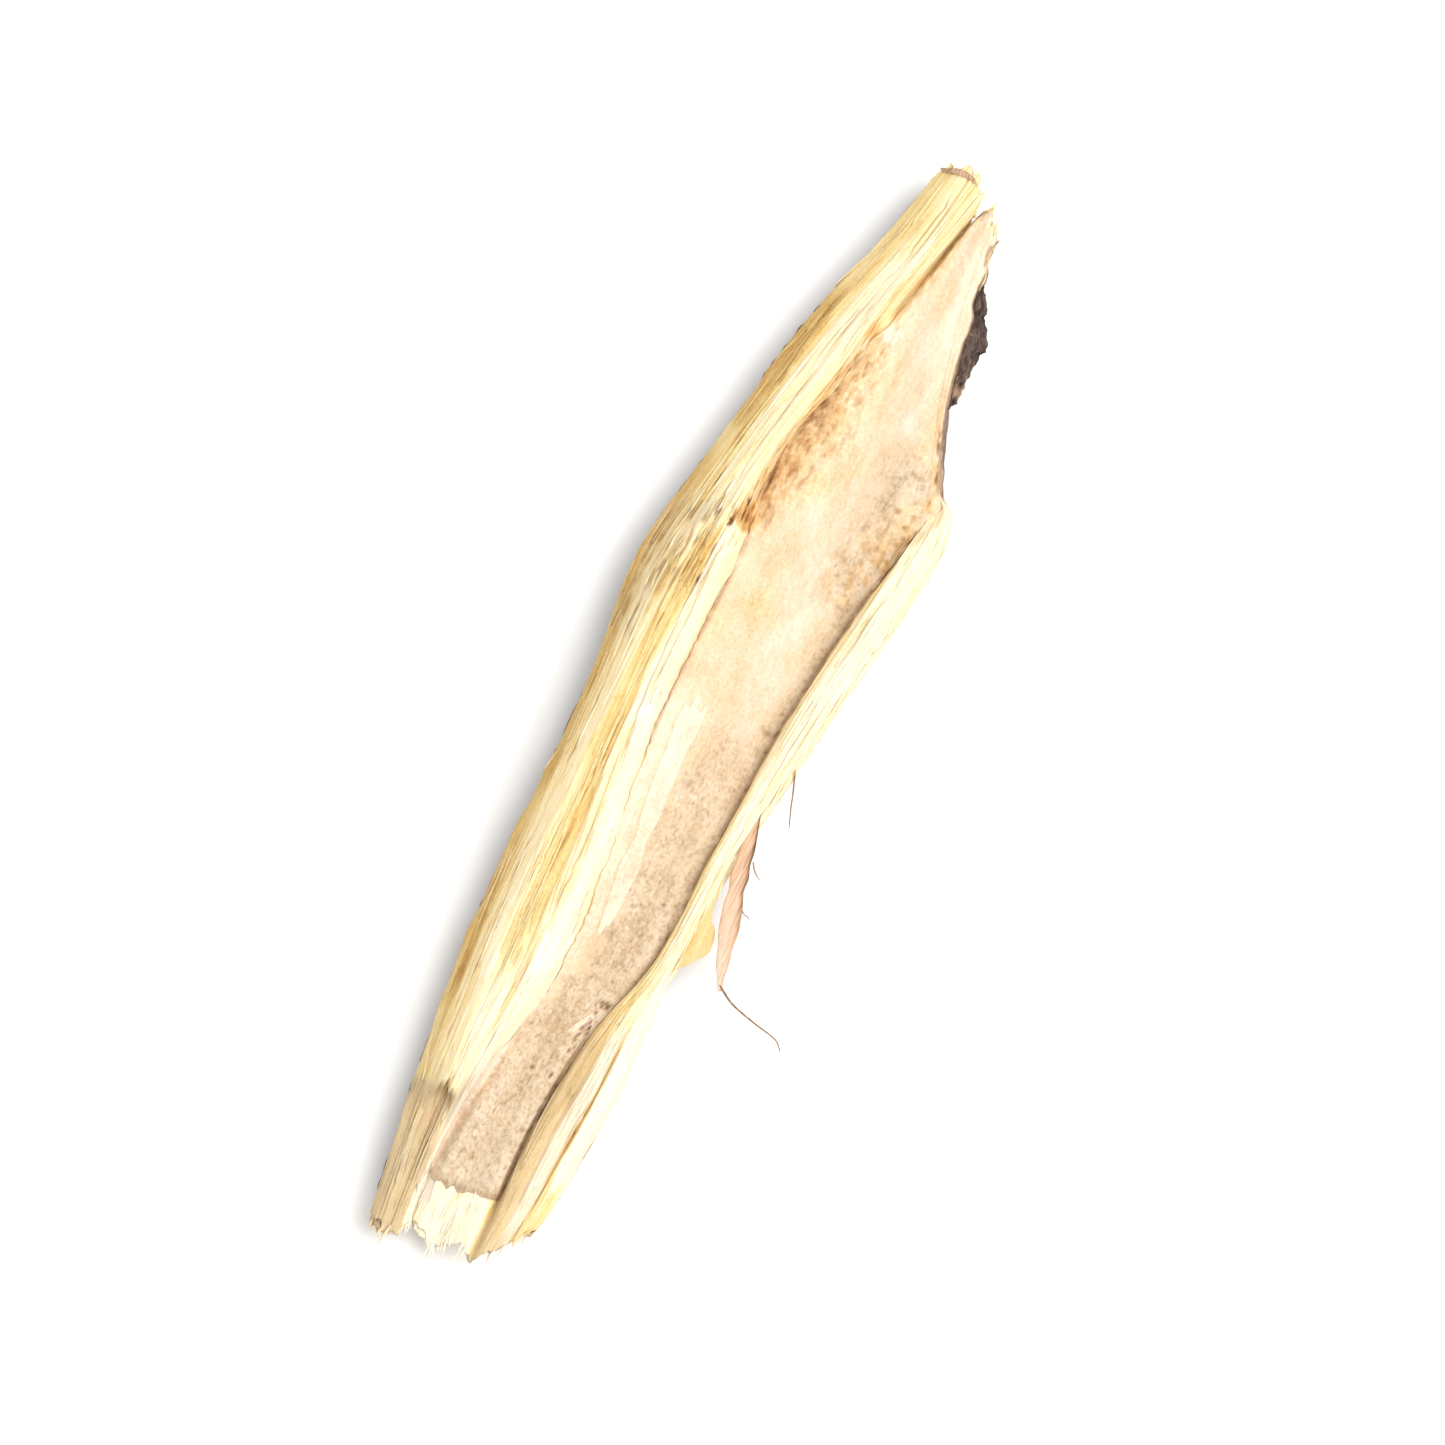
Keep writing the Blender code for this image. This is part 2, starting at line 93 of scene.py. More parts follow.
# The split face: where something starts or ends along the chip or lies in the width, and how deep it goes
WALL_STEP, WALL_STEP_DROP = 3.5, 0.95           # the left wall's upper layer broke off here
RIGHT_WALL_TIP, RIGHT_WALL_SLANT = 21.9, 1.2    # the right wall ends in a point here, and slants inwards
RIGHT_WALL_STANDS_OUT = 0.35                    # near its point it stands out past the edge
RIGHT_NIP, RIGHT_NIP_DEPTH = (24.3, 2.0), 0.13  # above that point the edge runs further in
RIGHT_RAGGED_FROM, RIGHT_RAGGED = (24.0, 27.5), 0.09        # and is more and more ragged
LOWER_FRACTURE, LOWER_FRACTURE_DROP = 1.5, 0.8              # the pith's lower end broke off at a slant
HOLLOW, HOLLOW_ACROSS, HOLLOW_DEPTH = (19.5, 24.9), 0.385, 0.4      # torn out beside the left wall
END_CRACK = [(25.5, 0.44), (27.5, 0.468), (29.5, 0.505)]    # between the two tips of the upper end
END_CRACK_DEPTH = 0.5
LOWER_GROOVES, LOWER_GROOVE_END, LOWER_GROOVE_DEPTH = (0.745, 0.912), 6.8, 0.2      # up to here, at the right
INNER_LAYER_END, INNER_LAYER_DROP = 6.3, 0.3                # the left wall's inner layer is gone below here

# The back: how round it is, how long its middle stays straight and how far it bows up from there, how deep
# its flat spot is, and how the two sides are rounded
MIDDLE, BACK_ROUND, BOW_FREE, BOW_RISE, FLAT_DEPTH = 15.0, 2.3, 5.5, 0.35, 0.07
SIDE_DEPTH, LEFT_ROUND, RIGHT_ROUND = 0.35, 0.22, 0.16
FURROWS, FURROW_DEPTH = 9, 0.06
WAVER = 0.05                    # slow unevenness of the face
SEED = 11

# Bundles of fibres: how wide and long they are, how high they stand, and how squarely they meet and end
BUNDLES = [(0.46, 9.0, 0.045, 0.5, 0.3), (0.24, 4.5, 0.022, 0.5, 0.6), (0.3, 2.2, 0.018, 0.6, 0.85),
           (0.11, 1.6, 0.008, 0.3, 0.6), (0.07, 0.35, 0.005, 0.0, 0.0)]
# Fine splits between them: spacing, length, depth
SPLITS = [(0.8, 8.0, 0.045), (0.34, 4.0, 0.016), (0.17, 1.6, 0.006)]
FIBRE_END = 0.1                 # how wide the bundles show that are torn across at the ends
FACE_LOWERED = 0.07             # so that what stands out of the face reaches its plain form

# Layers left standing on the face: from, to, middle in the width, half width, thickness, how much paler
STANDING_LAYERS = [
    (18.9, 28.7, 0.235, 0.085, 0.06, 0.04),
    (4.6, 14.4, 0.372, 0.04, 0.1, 0.06),
    (14.0, 19.6, 0.365, 0.045, 0.13, 0.06),
    (6.2, 12.8, 0.29, 0.03, 0.06, 0.04),
    (3.4, 7.4, 0.2, 0.06, 0.07, 0.04),
    (8.2, 21.9, 0.85, 0.04, 0.05, 0.03),
    (9.2, 16.2, 0.93, 0.028, 0.05, -0.04),
    (1.2, 7.0, 0.862, 0.022, 0.09, 0.0),
]
SMALL_LAYERS = [(30, 0.02, 0.4), (18, 0.77, 0.98)]      # how many, and between which places in the width
LAYER_LENGTH, LAYER_REACH, LAYER_THICK, LAYER_TINT = (1.0, 7.0), (0.008, 0.03), (0.02, 0.06), 0.07

# Paler and darker bands of the face: from, to, between which places in the width, how much paler
WOOD_BANDS = [
    (18.7, 27.5, 0.105, 0.325, 0.2),
    (27.0, 30.5, 0.1, 0.43, 0.1),
    # painted shade along the left edge, the side away from the light
    (21.3, 25.5, -0.1, 0.085, -0.24),
    (24.9, 29.4, 0.34, 0.37, -0.14),
    (16.7, 18.3, 0.11, 0.15, -0.18),
    (17.2, 19.7, 0.1, 0.28, -0.1),
    (14.0, 19.5, 0.285, 0.43, 0.24),
    (6.8, 19.0, 0.082, 0.163, 0.18),
    (6.8, 19.0, 0.174, 0.262, -0.12),
    (7.2, 14.0, 0.268, 0.31, 0.06),
    (7.4, 14.6, 0.318, 0.43, 0.22),
    (6.0, 19.5, 0.03, 0.072, 0.04),
    # painted shade along the left edge, the side away from the light
    (5.0, 20.5, -0.1, 0.036, -0.18),
    (3.3, 7.5, 0.11, 0.27, 0.14),
    # painted shade just below the left wall's step
    (2.1, 3.5, 0.13, 0.26, -0.1),
    (4.6, 8.0, 0.295, 0.43, 0.24),
    (7.2, 22.4, 0.765, 0.82, 0.1),
    (7.2, 22.4, 0.82, 1.1, 0.24),
    (7.4, 11.5, 0.8, 1.1, -0.12),
    (2.3, 8.0, 0.93, 1.1, 0.34),
    (0.8, 6.7, 0.84, 0.9, 0.22),
    (0.6, 7.2, 0.75, 0.83, -0.06),
    (0.4, 4.8, 0.29, 0.45, 0.22),
    (-1.0, 1.5, 0.3, 0.72, 0.34),
]

# Short dark cracks: place along, place in the width, length, half width. Then how many smaller ones
DARK_CRACKS = [(20.05, 0.1, 0.7, 0.008), (19.0, 0.08, 0.9, 0.009), (17.9, 0.2, 0.9, 0.009),
               (16.4, 0.2, 0.7, 0.006), (9.8, 0.09, 0.7, 0.006), (7.25, 0.245, 0.9, 0.007),
               (5.5, 0.285, 1.3, 0.009), (23.6, 0.11, 1.0, 0.006), (22.4, 0.1, 0.8, 0.006),
               (21.3, 0.1, 0.7, 0.007), (22.4, 0.37, 0.7, 0.01), (21.2, 0.36, 0.9, 0.01),
               (23.6, 0.345, 0.8, 0.008), (20.5, 0.345, 0.5, 0.012), (15.0, 0.87, 0.3, 0.008),
               (16.4, 0.97, 0.25, 0.012), (3.9, 0.335, 0.7, 0.009), (2.0, 0.2, 1.6, 0.006)]
SMALL_CRACKS = 44
CRACK_DEPTH = 0.12
# Dark notches, painted shade in the gaps where layers broke off: middle and reach in the width, middle and
# reach along
NOTCHES = [(0.332, 0.0308, 20.05, 0.2), (0.288, 0.0336, 19.43, 0.18), (0.425, 0.0224, 19.42, 0.13),
           (0.36, 0.028, 19.65, 0.2), (0.283, 0.0224, 17.75, 0.22)]
# Long grooves between the bundles of the left wall: half width in the width, how dark, and the line that each
# follows, as place along and place in the width
LONG_GROOVES = [
    (0.011, 0.75, [(17.6, 0.15), (19.0, 0.128), (22.0, 0.076), (24.6, 0.035)]),
    (0.009, 0.5, [(4.7, 0.317), (6.0, 0.299), (8.0, 0.294), (12.0, 0.322), (15.0, 0.3), (18.9, 0.27)]),
    (0.007, 0.5, [(5.0, 0.2), (6.0, 0.202), (10.0, 0.22), (14.0, 0.244)]),
    (0.009, 0.6, [(3.6, 0.085), (7.0, 0.09), (13.0, 0.089), (18.5, 0.08)]),
    (0.008, 0.5, [(20.0, 0.2), (23.0, 0.17), (26.0, 0.15), (29.5, 0.14)]),
    (0.007, 0.6, [(25.6, 0.34), (27.5, 0.35), (29.6, 0.37)]),
    (0.006, 0.5, [(0.0, 0.2), (3.4, 0.21)]),
    (0.006, 0.4, [(8.0, 0.88), (14.0, 0.87), (20.5, 0.86)]),
]
# The crack between the pith and the right wall: place along, place in the width
EDGE_CRACK = [(2.0, 0.743), (6.8, 0.747), (12.0, 0.75), (19.0, 0.752), (21.6, 0.8)]

# Torn tissue between the left wall and the pith: place along, and from where to where in the width
TORN_ZONE = [(19.4, 0.285, 0.45), (20.5, 0.31, 0.49), (22.5, 0.34, 0.56), (24.3, 0.315, 0.58),
             (26.0, 0.36, 0.5)]
TORN_FROM, TORN_TO = 19.7, 25.6

WOOD_TONE = 0.53                # from 0, the darkest of the wood's colours, to 1, the palest
# Areas of the wood: from, to and how soft its sides are in the width, then the same along
ROSY_RIGHT = (0.835, 0.905, 0.008, -5.0, 6.6, 0.8)
ROSY_LEFT = (0.29, 0.46, 0.008, 0.4, 4.6, 0.5)
TAN_GROOVE = (0.74, 0.832, 0.008, -5.0, 6.6, 0.8)
MOTTLED_FLANK = (-0.1, 0.14, 0.02, 15.6, 19.6, 0.5)
BROWNED_CREST = (0.08, 0.28, 0.02, 17.2, 19.9, 0.4)
ROUGH_CREST = (0.13, 0.3, 0.03, 17.2, 19.9, 0.4)
# Streaks of it: middle and reach in the width, then from, to and how soft its ends are
FLANK_LINE = (0.285, 0.012, -0.2, 2.3, 0.3)
GROOVE_LINE = (0.912, 0.008, 0.8, 7.0, 0.4)
RUSTY_STREAK = (0.355, 0.035, 19.8, 25.6, 0.4)
# The notch where the standing layer broke off, browned tissue with painted shade of the gap: middle and reach
# in the width, middle and reach along
NOTCH_BROWN_AND_SHADE = (0.36, 0.12, 19.5, 0.85)

# The pith's bed: how much lower the wood lies under it, from and to along, and its two sides, as place
# along and place in the width
PITH_BED = 0.3
PITH_FROM, PITH_TO = 1.35, 29.2
PITH_LEFT_SIDE = [(1.0, 0.35), (4.4, 0.365), (5.2, 0.41), (7.0, 0.43), (14.0, 0.42), (19.3, 0.425),
                  (20.1, 0.4), (24.5, 0.385), (25.6, 0.45), (27.5, 0.484), (29.4, 0.52)]
PITH_RIGHT_SIDE = [(1.0, 0.74), (19.3, 0.752), (20.6, 0.765), (21.5, 0.8), (22.0, 0.9), (22.4, 0.985),
                   (29.4, 0.993)]

BARK_THICK = 0.22

# Points of the wood's mesh: across each stretch of its face, down a side, across its back, along, and over
# an end
WOOD_FACE = [(0.0, 0.45, 104), (0.45, 0.72, 18), (0.72, 1.0, 64)]
WOOD_SIDE, WOOD_BACK, WOOD_ALONG, WOOD_RINGS = 9, 14, 384, 22


def line(points, x):
    """A smooth line through points, read at each place x, and carried on straight past its ends."""
    xs, ys = np.array(points).T
    slopes = np.gradient(ys, xs)
    i = np.clip(np.searchsorted(xs, x) - 1, 0, len(xs) - 2)
    step = xs[i + 1] - xs[i]
    t = (x - xs[i]) / step
    inside = np.clip(t, 0, 1)
    bend = inside * inside * (3 - 2 * inside)
    curve = (ys[i] * (1 - bend) + ys[i + 1] * bend
             + step * inside * (1 - inside) * (slopes[i] * (1 - inside) - slopes[i + 1] * inside))
    return curve + (t - inside) * step * np.where(t < 0, slopes[i], slopes[i + 1])


def straight(points, x):
    """A line straight from point to point, read at each place x."""
    return np.interp(x, *zip(*points))


def between(low, high, share):
    """The value a share of the way from one to the other."""
    return low + (high - low) * share


def section(points, u):
    """A smooth section through points, each a place in the width and the heights there, read at each u."""
    knots, heights = zip(*points)
    knots = np.array(knots)
    z = np.stack(heights)
    slopes = np.empty_like(z)
    slopes[1:-1] = (z[2:] - z[:-2]) / (knots[2:] - knots[:-2])[:, None]
    slopes[0] = (z[1] - z[0]) / (knots[1] - knots[0])
    slopes[-1] = (z[-1] - z[-2]) / (knots[-1] - knots[-2])
    i = np.clip(np.searchsorted(knots, u) - 1, 0, len(knots) - 2)
    point = np.arange(len(u))
    step = knots[i + 1] - knots[i]
    t = (u - knots[i]) / step
    bend = t * t * (3 - 2 * t)
    return (z[i, point] * (1 - bend) + z[i + 1, point] * bend
            + step * t * (1 - t) * (slopes[i, point] * (1 - t) - slopes[i + 1, point] * t))


def rise(x, start, end):
    """0 before start and 1 after end, with a smooth rise between them."""
    t = np.clip((x - start) / (end - start), 0, 1)
    return t * t * (3 - 2 * t)


def near(x, centre, reach):
    """1 at the centre, falling smoothly to 0 at a reach either side of it."""
    return 1 - rise(np.abs(x - centre), 0, reach)


def within(x, start, end, soft):
    """1 between start and end and 0 outside them, with soft edges."""
    return rise(x, start - soft, start + soft) * (1 - rise(x, end - soft, end + soft))


def area(u, x, left, right, soft_across, start, end, soft_along):
    """1 in an area of the face and 0 outside it, with soft sides."""
    return within(u, left, right, soft_across) * within(x, start, end, soft_along)


def streak(u, x, middle, reach, start, end, soft):
    """1 in the middle of a streak along the face, falling to 0 at its sides and its soft ends."""
    return near(u, middle, reach) * within(x, start, end, soft)


def spot(u, x, middle, reach, along, length):
    """1 in the middle of a spot on the face, falling to 0 at its reach across and along."""
    return near(u, middle, reach) * near(x, along, length)


def waver(x, y, seed):
    """Slow seeded unevenness, from about -1 to 1, drawn out along the grain."""
    random = np.random.default_rng(seed)
    total = 0
    for _ in range(5):
        along, across = random.uniform(0.15, 0.8), random.uniform(1.0, 3.0)
        total = total + np.sin(along * x + across * y + random.uniform(0, 2 * np.pi))
    return total / 3


@cache
def seeded_values(seed):
    """The random values of one noise, kept once they are drawn."""
    return np.random.default_rng(seed).uniform(-1, 1, (97, 97))


def noise(a, b, seed, square=0.0, ends=0.0):
    """Seeded unevenness from -1 to 1, with a new value at each whole step of a and of b. Its steps are
    smooth, or as square as asked for: across by square, along by ends."""
    values = seeded_values(seed)
    i, j = np.floor(a).astype(int), np.floor(b).astype(int)
    s, t = rise(a - i, square / 2, 1 - square / 2), rise(b - j, ends / 2, 1 - ends / 2)
    low = values[i % 97, j % 97] * (1 - s) + values[(i + 1) % 97, j % 97] * s
    high = values[i % 97, (j + 1) % 97] * (1 - s) + values[(i + 1) % 97, (j + 1) % 97] * s
    return low * (1 - t) + high * t


def patches(u, x, wide, long, start, end, seed):
    """1 in seeded patches of about this width and length in mm, and 0 between them."""
    return rise(noise(u * FACE_WIDTH / wide, x / long, seed), start, end)


def tear(u, v, seed):
    """How far each bundle of fibres stands out at a torn end."""
    total = 0
    for bundles, layers, uneven in TEARS:
        total = total + uneven * noise(u * bundles, v * layers, seed + bundles, 0.5, 0.5)
    return total


def place_along(u, v, s):
    """The place along the chip of a point at s of the way from one torn end to the other."""
    short = BACK_TORN_SHORT * (1 - v)
    lower = line(LOWER_END, u) + tear(u, v, SEED) + short
    upper = line(UPPER_END, u) + tear(u, v, SEED + 1) - short
    return between(lower, upper, s)


def place_across(u, v, x):
    """The place across the chip, between its lines, with the two sides rounded."""
    stands_out = rise(x, RIGHT_WALL_TIP - 6, RIGHT_WALL_TIP - 1)
    stands_out = stands_out * (1 - rise(x, RIGHT_WALL_TIP, RIGHT_WALL_TIP + 0.4))
    right = line(RIGHT_EDGE, x) - RIGHT_WALL_STANDS_OUT * stands_out
    ragged = RIGHT_RAGGED * rise(x, *RIGHT_RAGGED_FROM) * noise(x / 0.35, x * 0, SEED + 13, 0.0, 0.5)
    right = right + ragged + RIGHT_NIP_DEPTH * near(x, *RIGHT_NIP)
    lines = [line(LEFT_EDGE, x), line(LEFT_CREST, x), line(PITH_LEFT, x), line(PITH_RIGHT, x), right]
    knots = [0, LEFT_CREST_AT, PITH_LEFT_AT, PITH_RIGHT_AT, 1]
    y = np.zeros_like(x)
    for k in range(len(knots) - 1):
        t = np.clip((u - knots[k]) / (knots[k + 1] - knots[k]), 0, 1)
        y = np.where((u >= knots[k]) & (u <= knots[k + 1]), lines[k] * (1 - t) + lines[k + 1] * t, y)
    rounding = (2 * v - 1) ** 2
    left_in = LEFT_ROUND * (lines[0] - lines[1]) * near(u, 0, 0.08)
    right_in = RIGHT_ROUND * (lines[3] - lines[4]) * near(u, 1, 0.1)
    return y + rounding * (right_in - left_in)


def notch_end(u):
    """How much nearer the upper end each bundle of the standing layer broke off, beside the pith."""
    return 0.14 * noise(u * FACE_WIDTH / 0.14, u * 0, SEED + 114, 0.5)


def face_height(u, x, y):
    """The height of the split face: two walls of wood with the pith between them."""
    step = WALL_STEP + 0.12 * noise(u * FACE_WIDTH / 0.35, u * 0, SEED + 5, 0.6)
    step = step + 0.09 * noise(u * FACE_WIDTH / 0.12, u * 0, SEED + 99, 0.6)
    slope = 0.08 + 0.75 * (1 - within(u, 0.125, 0.27, 0.02))      # the step is steep only on the crest
    crest = line(CREST_TOP, x) - WALL_STEP_DROP * (1 - rise(x, step - slope, step + slope))
    pith = line(PITH_FLOOR, x)
    tip = RIGHT_WALL_TIP - RIGHT_WALL_SLANT * (1 - rise(u, PITH_RIGHT_AT, 0.95))
    walled = 1 - rise(x, tip - 0.4, tip + 0.3)
    right = pith - 0.05 + walled * (line(RIGHT_TOP, x) - pith + 0.05)
    left_low = np.minimum(line(LEFT_SIDE, x) + SIDE_DEPTH, crest - 0.1)
    right_low = np.minimum(line(RIGHT_SIDE, x) + SIDE_DEPTH, right - 0.1)
    z = section([
        (0, left_low),
        (0.05, between(left_low, crest, 0.5)),
        (0.11, between(left_low, crest, 0.82)),
        (LEFT_CREST_AT, crest - 0.05),
        (0.25, crest),
        (0.33, crest - 0.08),
        (0.38, between(pith, crest, 0.6)),
        (PITH_LEFT_AT, between(pith, crest, 0.15)),
        (0.47, pith),
        (0.58, pith - 0.1),
        (0.69, pith),
        (PITH_RIGHT_AT, pith - 0.06),
        (0.775, between(pith, right, 0.9)),
        (0.82, right),
        (0.93, between(right_low, right, 0.85)),
        (1, right_low),
    ], u)
    broken = x - notch_end(u)
    hollow = rise(broken, HOLLOW[0] - 0.15, HOLLOW[0] + 0.3) * (1 - rise(x, HOLLOW[1] - 3.0, HOLLOW[1]))
    z = z - HOLLOW_DEPTH * hollow * near(u, HOLLOW_ACROSS, 0.09)
    z = z - END_CRACK_DEPTH * rise(x, END_CRACK[0][0], 29.0) * near(u, straight(END_CRACK, x), 0.034)
    for groove in LOWER_GROOVES:
        lower = 1 - rise(x, LOWER_GROOVE_END - 1, LOWER_GROOVE_END)
        z = z - LOWER_GROOVE_DEPTH * lower * near(u, groove, 0.022)
    layer = 1 - rise(x, INNER_LAYER_END - 1.2, INNER_LAYER_END)
    z = z - INNER_LAYER_DROP * layer * near(u, PITH_LEFT_AT - 0.03, 0.07)
    fracture = np.clip((LOWER_FRACTURE - x) / (LOWER_FRACTURE + 0.4), 0, 1)
    z = z - LOWER_FRACTURE_DROP * fracture * near(u, 0.5, 0.3)
    return z + WAVER * waver(x, y, SEED + 3) * near(u, 0.5, 0.52)


def back_height(u, x, y):
    """The height of the round back, with its furrows and the flat spot that the chip rests on."""
    ridge = line(BACK_RIDGE, x)
    left, right = line(LEFT_EDGE, x), line(RIGHT_EDGE, x)
    away = np.where(y > ridge, (y - ridge) / (left - ridge), (ridge - y) / (ridge - right))
    away = np.clip(away, 0, 1)
    edge = np.where(y > ridge, line(LEFT_SIDE, x), line(RIGHT_SIDE, x)) - SIDE_DEPTH
    beyond = np.maximum(np.abs(x - MIDDLE) - BOW_FREE, 0) / (MIDDLE - BOW_FREE)
    floor = BOW_RISE * beyond ** 2 - FLAT_DEPTH
    furrow = FURROW_DEPTH * np.cos(2 * np.pi * FURROWS * u + waver(x, 0, SEED + 4))
    furrowed = rise(away, 0.15, 0.4) * (1 - rise(away, 0.85, 1))
    return np.maximum(floor + (edge - floor) * away ** BACK_ROUND + furrow * furrowed, 0)


def fibre_relief(across, x, seed):
    """How high bundles of fibres stand, in mm, with fine splits between them."""
    across = across + 0.2 * noise(across / 1.4, x / 6, seed) + 0.03 * noise(across / 0.4, x / 0.9, seed + 9)
    total = 0
    for k, (width, length, height, square, ends) in enumerate(BUNDLES):
        stagger = 5 * noise(across / width * 0.5, across * 0, seed + 11 + k)
        total = total + height * noise(across / width, x / length + stagger, seed + 1 + k, square, ends)
    for k, (spacing, length, depth) in enumerate(SPLITS):
        edge = np.abs(noise(across / spacing, x / length, seed + 20 + k))
        total = total - depth * (1 - rise(edge, 0, 0.12))
    return total


def torn_layer(u, x, layer, seed):
    """1 where a layer of wood is left standing, with its ends torn off bundle by bundle, and 0 elsewhere."""
    low, high, middle, reach = layer[:4]
    away = (2 * x - low - high) / (high - low)
    reach = reach * np.sqrt(np.clip(1 - away ** 6, 0, 1)) * (1 + 0.35 * noise(x / 0.8, u * 0, seed))
    bundle = u * FACE_WIDTH / 0.11
    ragged = 0.45 * noise(bundle, u * 0, seed + 1, 0.6)
    drift = 0.008 * noise(x / 4, u * 0, seed + 2)
    ends = within(x, low + ragged + 0.5, high - ragged - 0.5, 0.05)
    return ends * (1 - rise(np.abs(u - middle - drift), reach - 0.004, reach + 0.004))


def standing_wood(u, x):
    """How high the standing layers make the face, and how much paler or darker each leaves it."""
    random = np.random.default_rng(SEED + 20)
    layers = list(STANDING_LAYERS)
    for count, left, right in SMALL_LAYERS:
        for _ in range(count):
            low, middle = random.uniform(-0.5, 27), random.uniform(left, right)
            layers.append((low, low + random.uniform(*LAYER_LENGTH), middle, random.uniform(*LAYER_REACH),
                           random.uniform(*LAYER_THICK), random.uniform(-LAYER_TINT, LAYER_TINT)))
    height, tint = np.zeros_like(x), np.zeros_like(x)
    for k, layer in enumerate(layers):
        standing = torn_layer(u, x, layer, SEED + 200 + 3 * k)
        height = height + layer[4] * standing
        tint = tint * (1 - standing) + layer[5] * standing
    return height, tint


def wood_bands(u, x):
    """How much paler the bands make each place of the face, with their edges broken up."""
    uneven = 0.012 * noise(x / 1.3, u * 0, SEED + 62) + 0.007 * noise(x / 0.35, u * 0, SEED + 63)
    ragged = 0.6 * noise(u * FACE_WIDTH / 0.13, x * 0, SEED + 64, 0.5)
    total = np.zeros_like(x)
    for k, (start, end, left, right, paler) in enumerate(WOOD_BANDS):
        shift = uneven * (1 if k % 2 else -1)
        total = total + paler * within(x + ragged, start, end, 0.35) * within(u + shift, left, right, 0.01)
    return total


def torn_zone(u, x):
    """1 where torn, browner tissue lies open beside the left wall, and less and less to its right."""
    along, left, right = np.array(TORN_ZONE).T
    left, right = np.interp(x, along, left), np.interp(x, along, right)
    u = u + 0.014 * noise(x / 0.45, u * 0, SEED + 66) + 0.006 * noise(x / 0.12, u * 0, SEED + 67)
    inside = rise(u, left - 0.008, left + 0.008) * (1 - rise(u, left + 0.07, right + 0.06))
    ragged = 0.5 * noise(u * FACE_WIDTH / 0.16, x * 0, SEED + 68)
    return inside * within(x + ragged, TORN_FROM, TORN_TO, 0.35)


def notch_brown_and_shade(u, x):
    """1 in the notch above the layer that broke off beside the pith, and 0 elsewhere: browned tissue with
    painted shade.
    """
    ragged = 0.2 * noise(u * FACE_WIDTH / 0.12, x / 0.16, SEED + 58)
    stain = rise(spot(u, x, *NOTCH_BROWN_AND_SHADE) + ragged, 0.12, 0.5)
    return stain * rise(x - notch_end(u), HOLLOW[0] - 0.2, HOLLOW[0] - 0.08)


def dark_cracks(u, x):
    """1 in the short dark cracks, in the notches, whose dark is painted shade, and in the long crack beside
    the right wall, and 0 elsewhere.
    """
    random = np.random.default_rng(SEED + 10)
    cracks = list(DARK_CRACKS)
    for k in range(SMALL_CRACKS):
        across = random.uniform(0.03, 0.4) if k % 4 else random.uniform(0.77, 0.97)
        along, length = random.uniform(3.8, 28), random.uniform(0.5, 2.4)
        cracks.append((along, across, length, random.uniform(0.002, 0.0035)))
    wander = 0.006 * noise(x / 0.3, u * 0, SEED + 6)
    total = 0
    for along, across, length, reach in cracks:
        crack = rise(near(x, along, length / 2), 0, 0.6) * near(u + wander, across, reach)
        total = np.maximum(total, random.uniform(0.2, 0.65) * crack)
    ragged = (0.5 * noise(u * FACE_WIDTH / 0.13, x / 0.2, SEED + 7)
              + 0.3 * noise(u * FACE_WIDTH / 0.06, x / 0.07, SEED + 14))
    # the notches: painted shade
    for notch in NOTCHES:
        inside = spot(u, x, *notch)
        total = np.maximum(total, 0.9 * rise(inside + ragged * rise(inside, 0, 0.2), 0.08, 0.5))
    broken = rise(noise(x / 0.7, u * 30, SEED + 12), -0.7, 0.5)
    for reach, dark, path in LONG_GROOVES:
        groove = near(u + wander, straight(path, x), reach) * within(x, path[0][0], path[-1][0], 0.5)
        total = np.maximum(total, dark * groove * (0.35 + 0.65 * broken))
    beside = near(u, straight(EDGE_CRACK, x) + 0.004 * noise(x / 0.3, u * 0, SEED + 8), 0.011)
    broken = rise(noise(x / 0.35, u * 0, SEED + 9), -0.6, 0.3)
    return np.maximum(total, beside * (0.3 + 0.7 * broken) * within(x, 1.6, 21.4, 0.6))


def pith_bed(u, x):
    """1 under the pith and 0 outside it."""
    left, right = straight(PITH_LEFT_SIDE, x), straight(PITH_RIGHT_SIDE, x)
    return (rise(u, left, left + 0.02) * (1 - rise(u, right - 0.02, right))
            * within(x, PITH_FROM + 0.1, PITH_TO - 0.1, 0.15))


def face_relief(u, x):
    """How far the wood of the face stands out of its plain form."""
    standing, _ = standing_wood(u, x)
    torn = torn_zone(u, x)
    rough = torn + 0.7 * area(u, x, *ROUGH_CREST)
    splinters = 0.055 * noise(u * FACE_WIDTH / 0.14, x / 0.9, SEED + 69, 0.5, 0.8)
    fibres = fibre_relief(u * FACE_WIDTH, x, SEED + 40) * (1 - 0.4 * rise(u, 0.74, 0.78))
    return fibres + standing * (1 - torn) + rough * splinters - FACE_LOWERED


def wood_point(u, v, s):
    """A point of the wood's surface."""
    x = place_along(u, v, s)
    y = place_across(u, v, x)
    face = face_height(u, x, y)
    back = back_height(u, x, y) + BARK_THICK
    relief = face_relief(u, x) - CRACK_DEPTH * dark_cracks(u, x) - PITH_BED * pith_bed(u, x)
    z = back + v * (face - back) + rise(v, 0.7, 1) * relief
    flank = fibre_relief(v * SIDE_HEIGHT, x, SEED + 50) + 0.03 * noise(x / 0.9, v * 3, SEED + 55)
    y = y + flank * (near(u, 0, 0.02) - near(u, 1, 0.02))
    return np.stack([x, y, z], axis=1)


def on_face(u, x, above=0.0):
    """The point on the wood's split face at a place in the width and a place along, or above it."""
    y = place_across(u, np.ones_like(u), x)
    return np.stack([x, y, face_height(u, x, y) + face_relief(u, x) + above], axis=1)


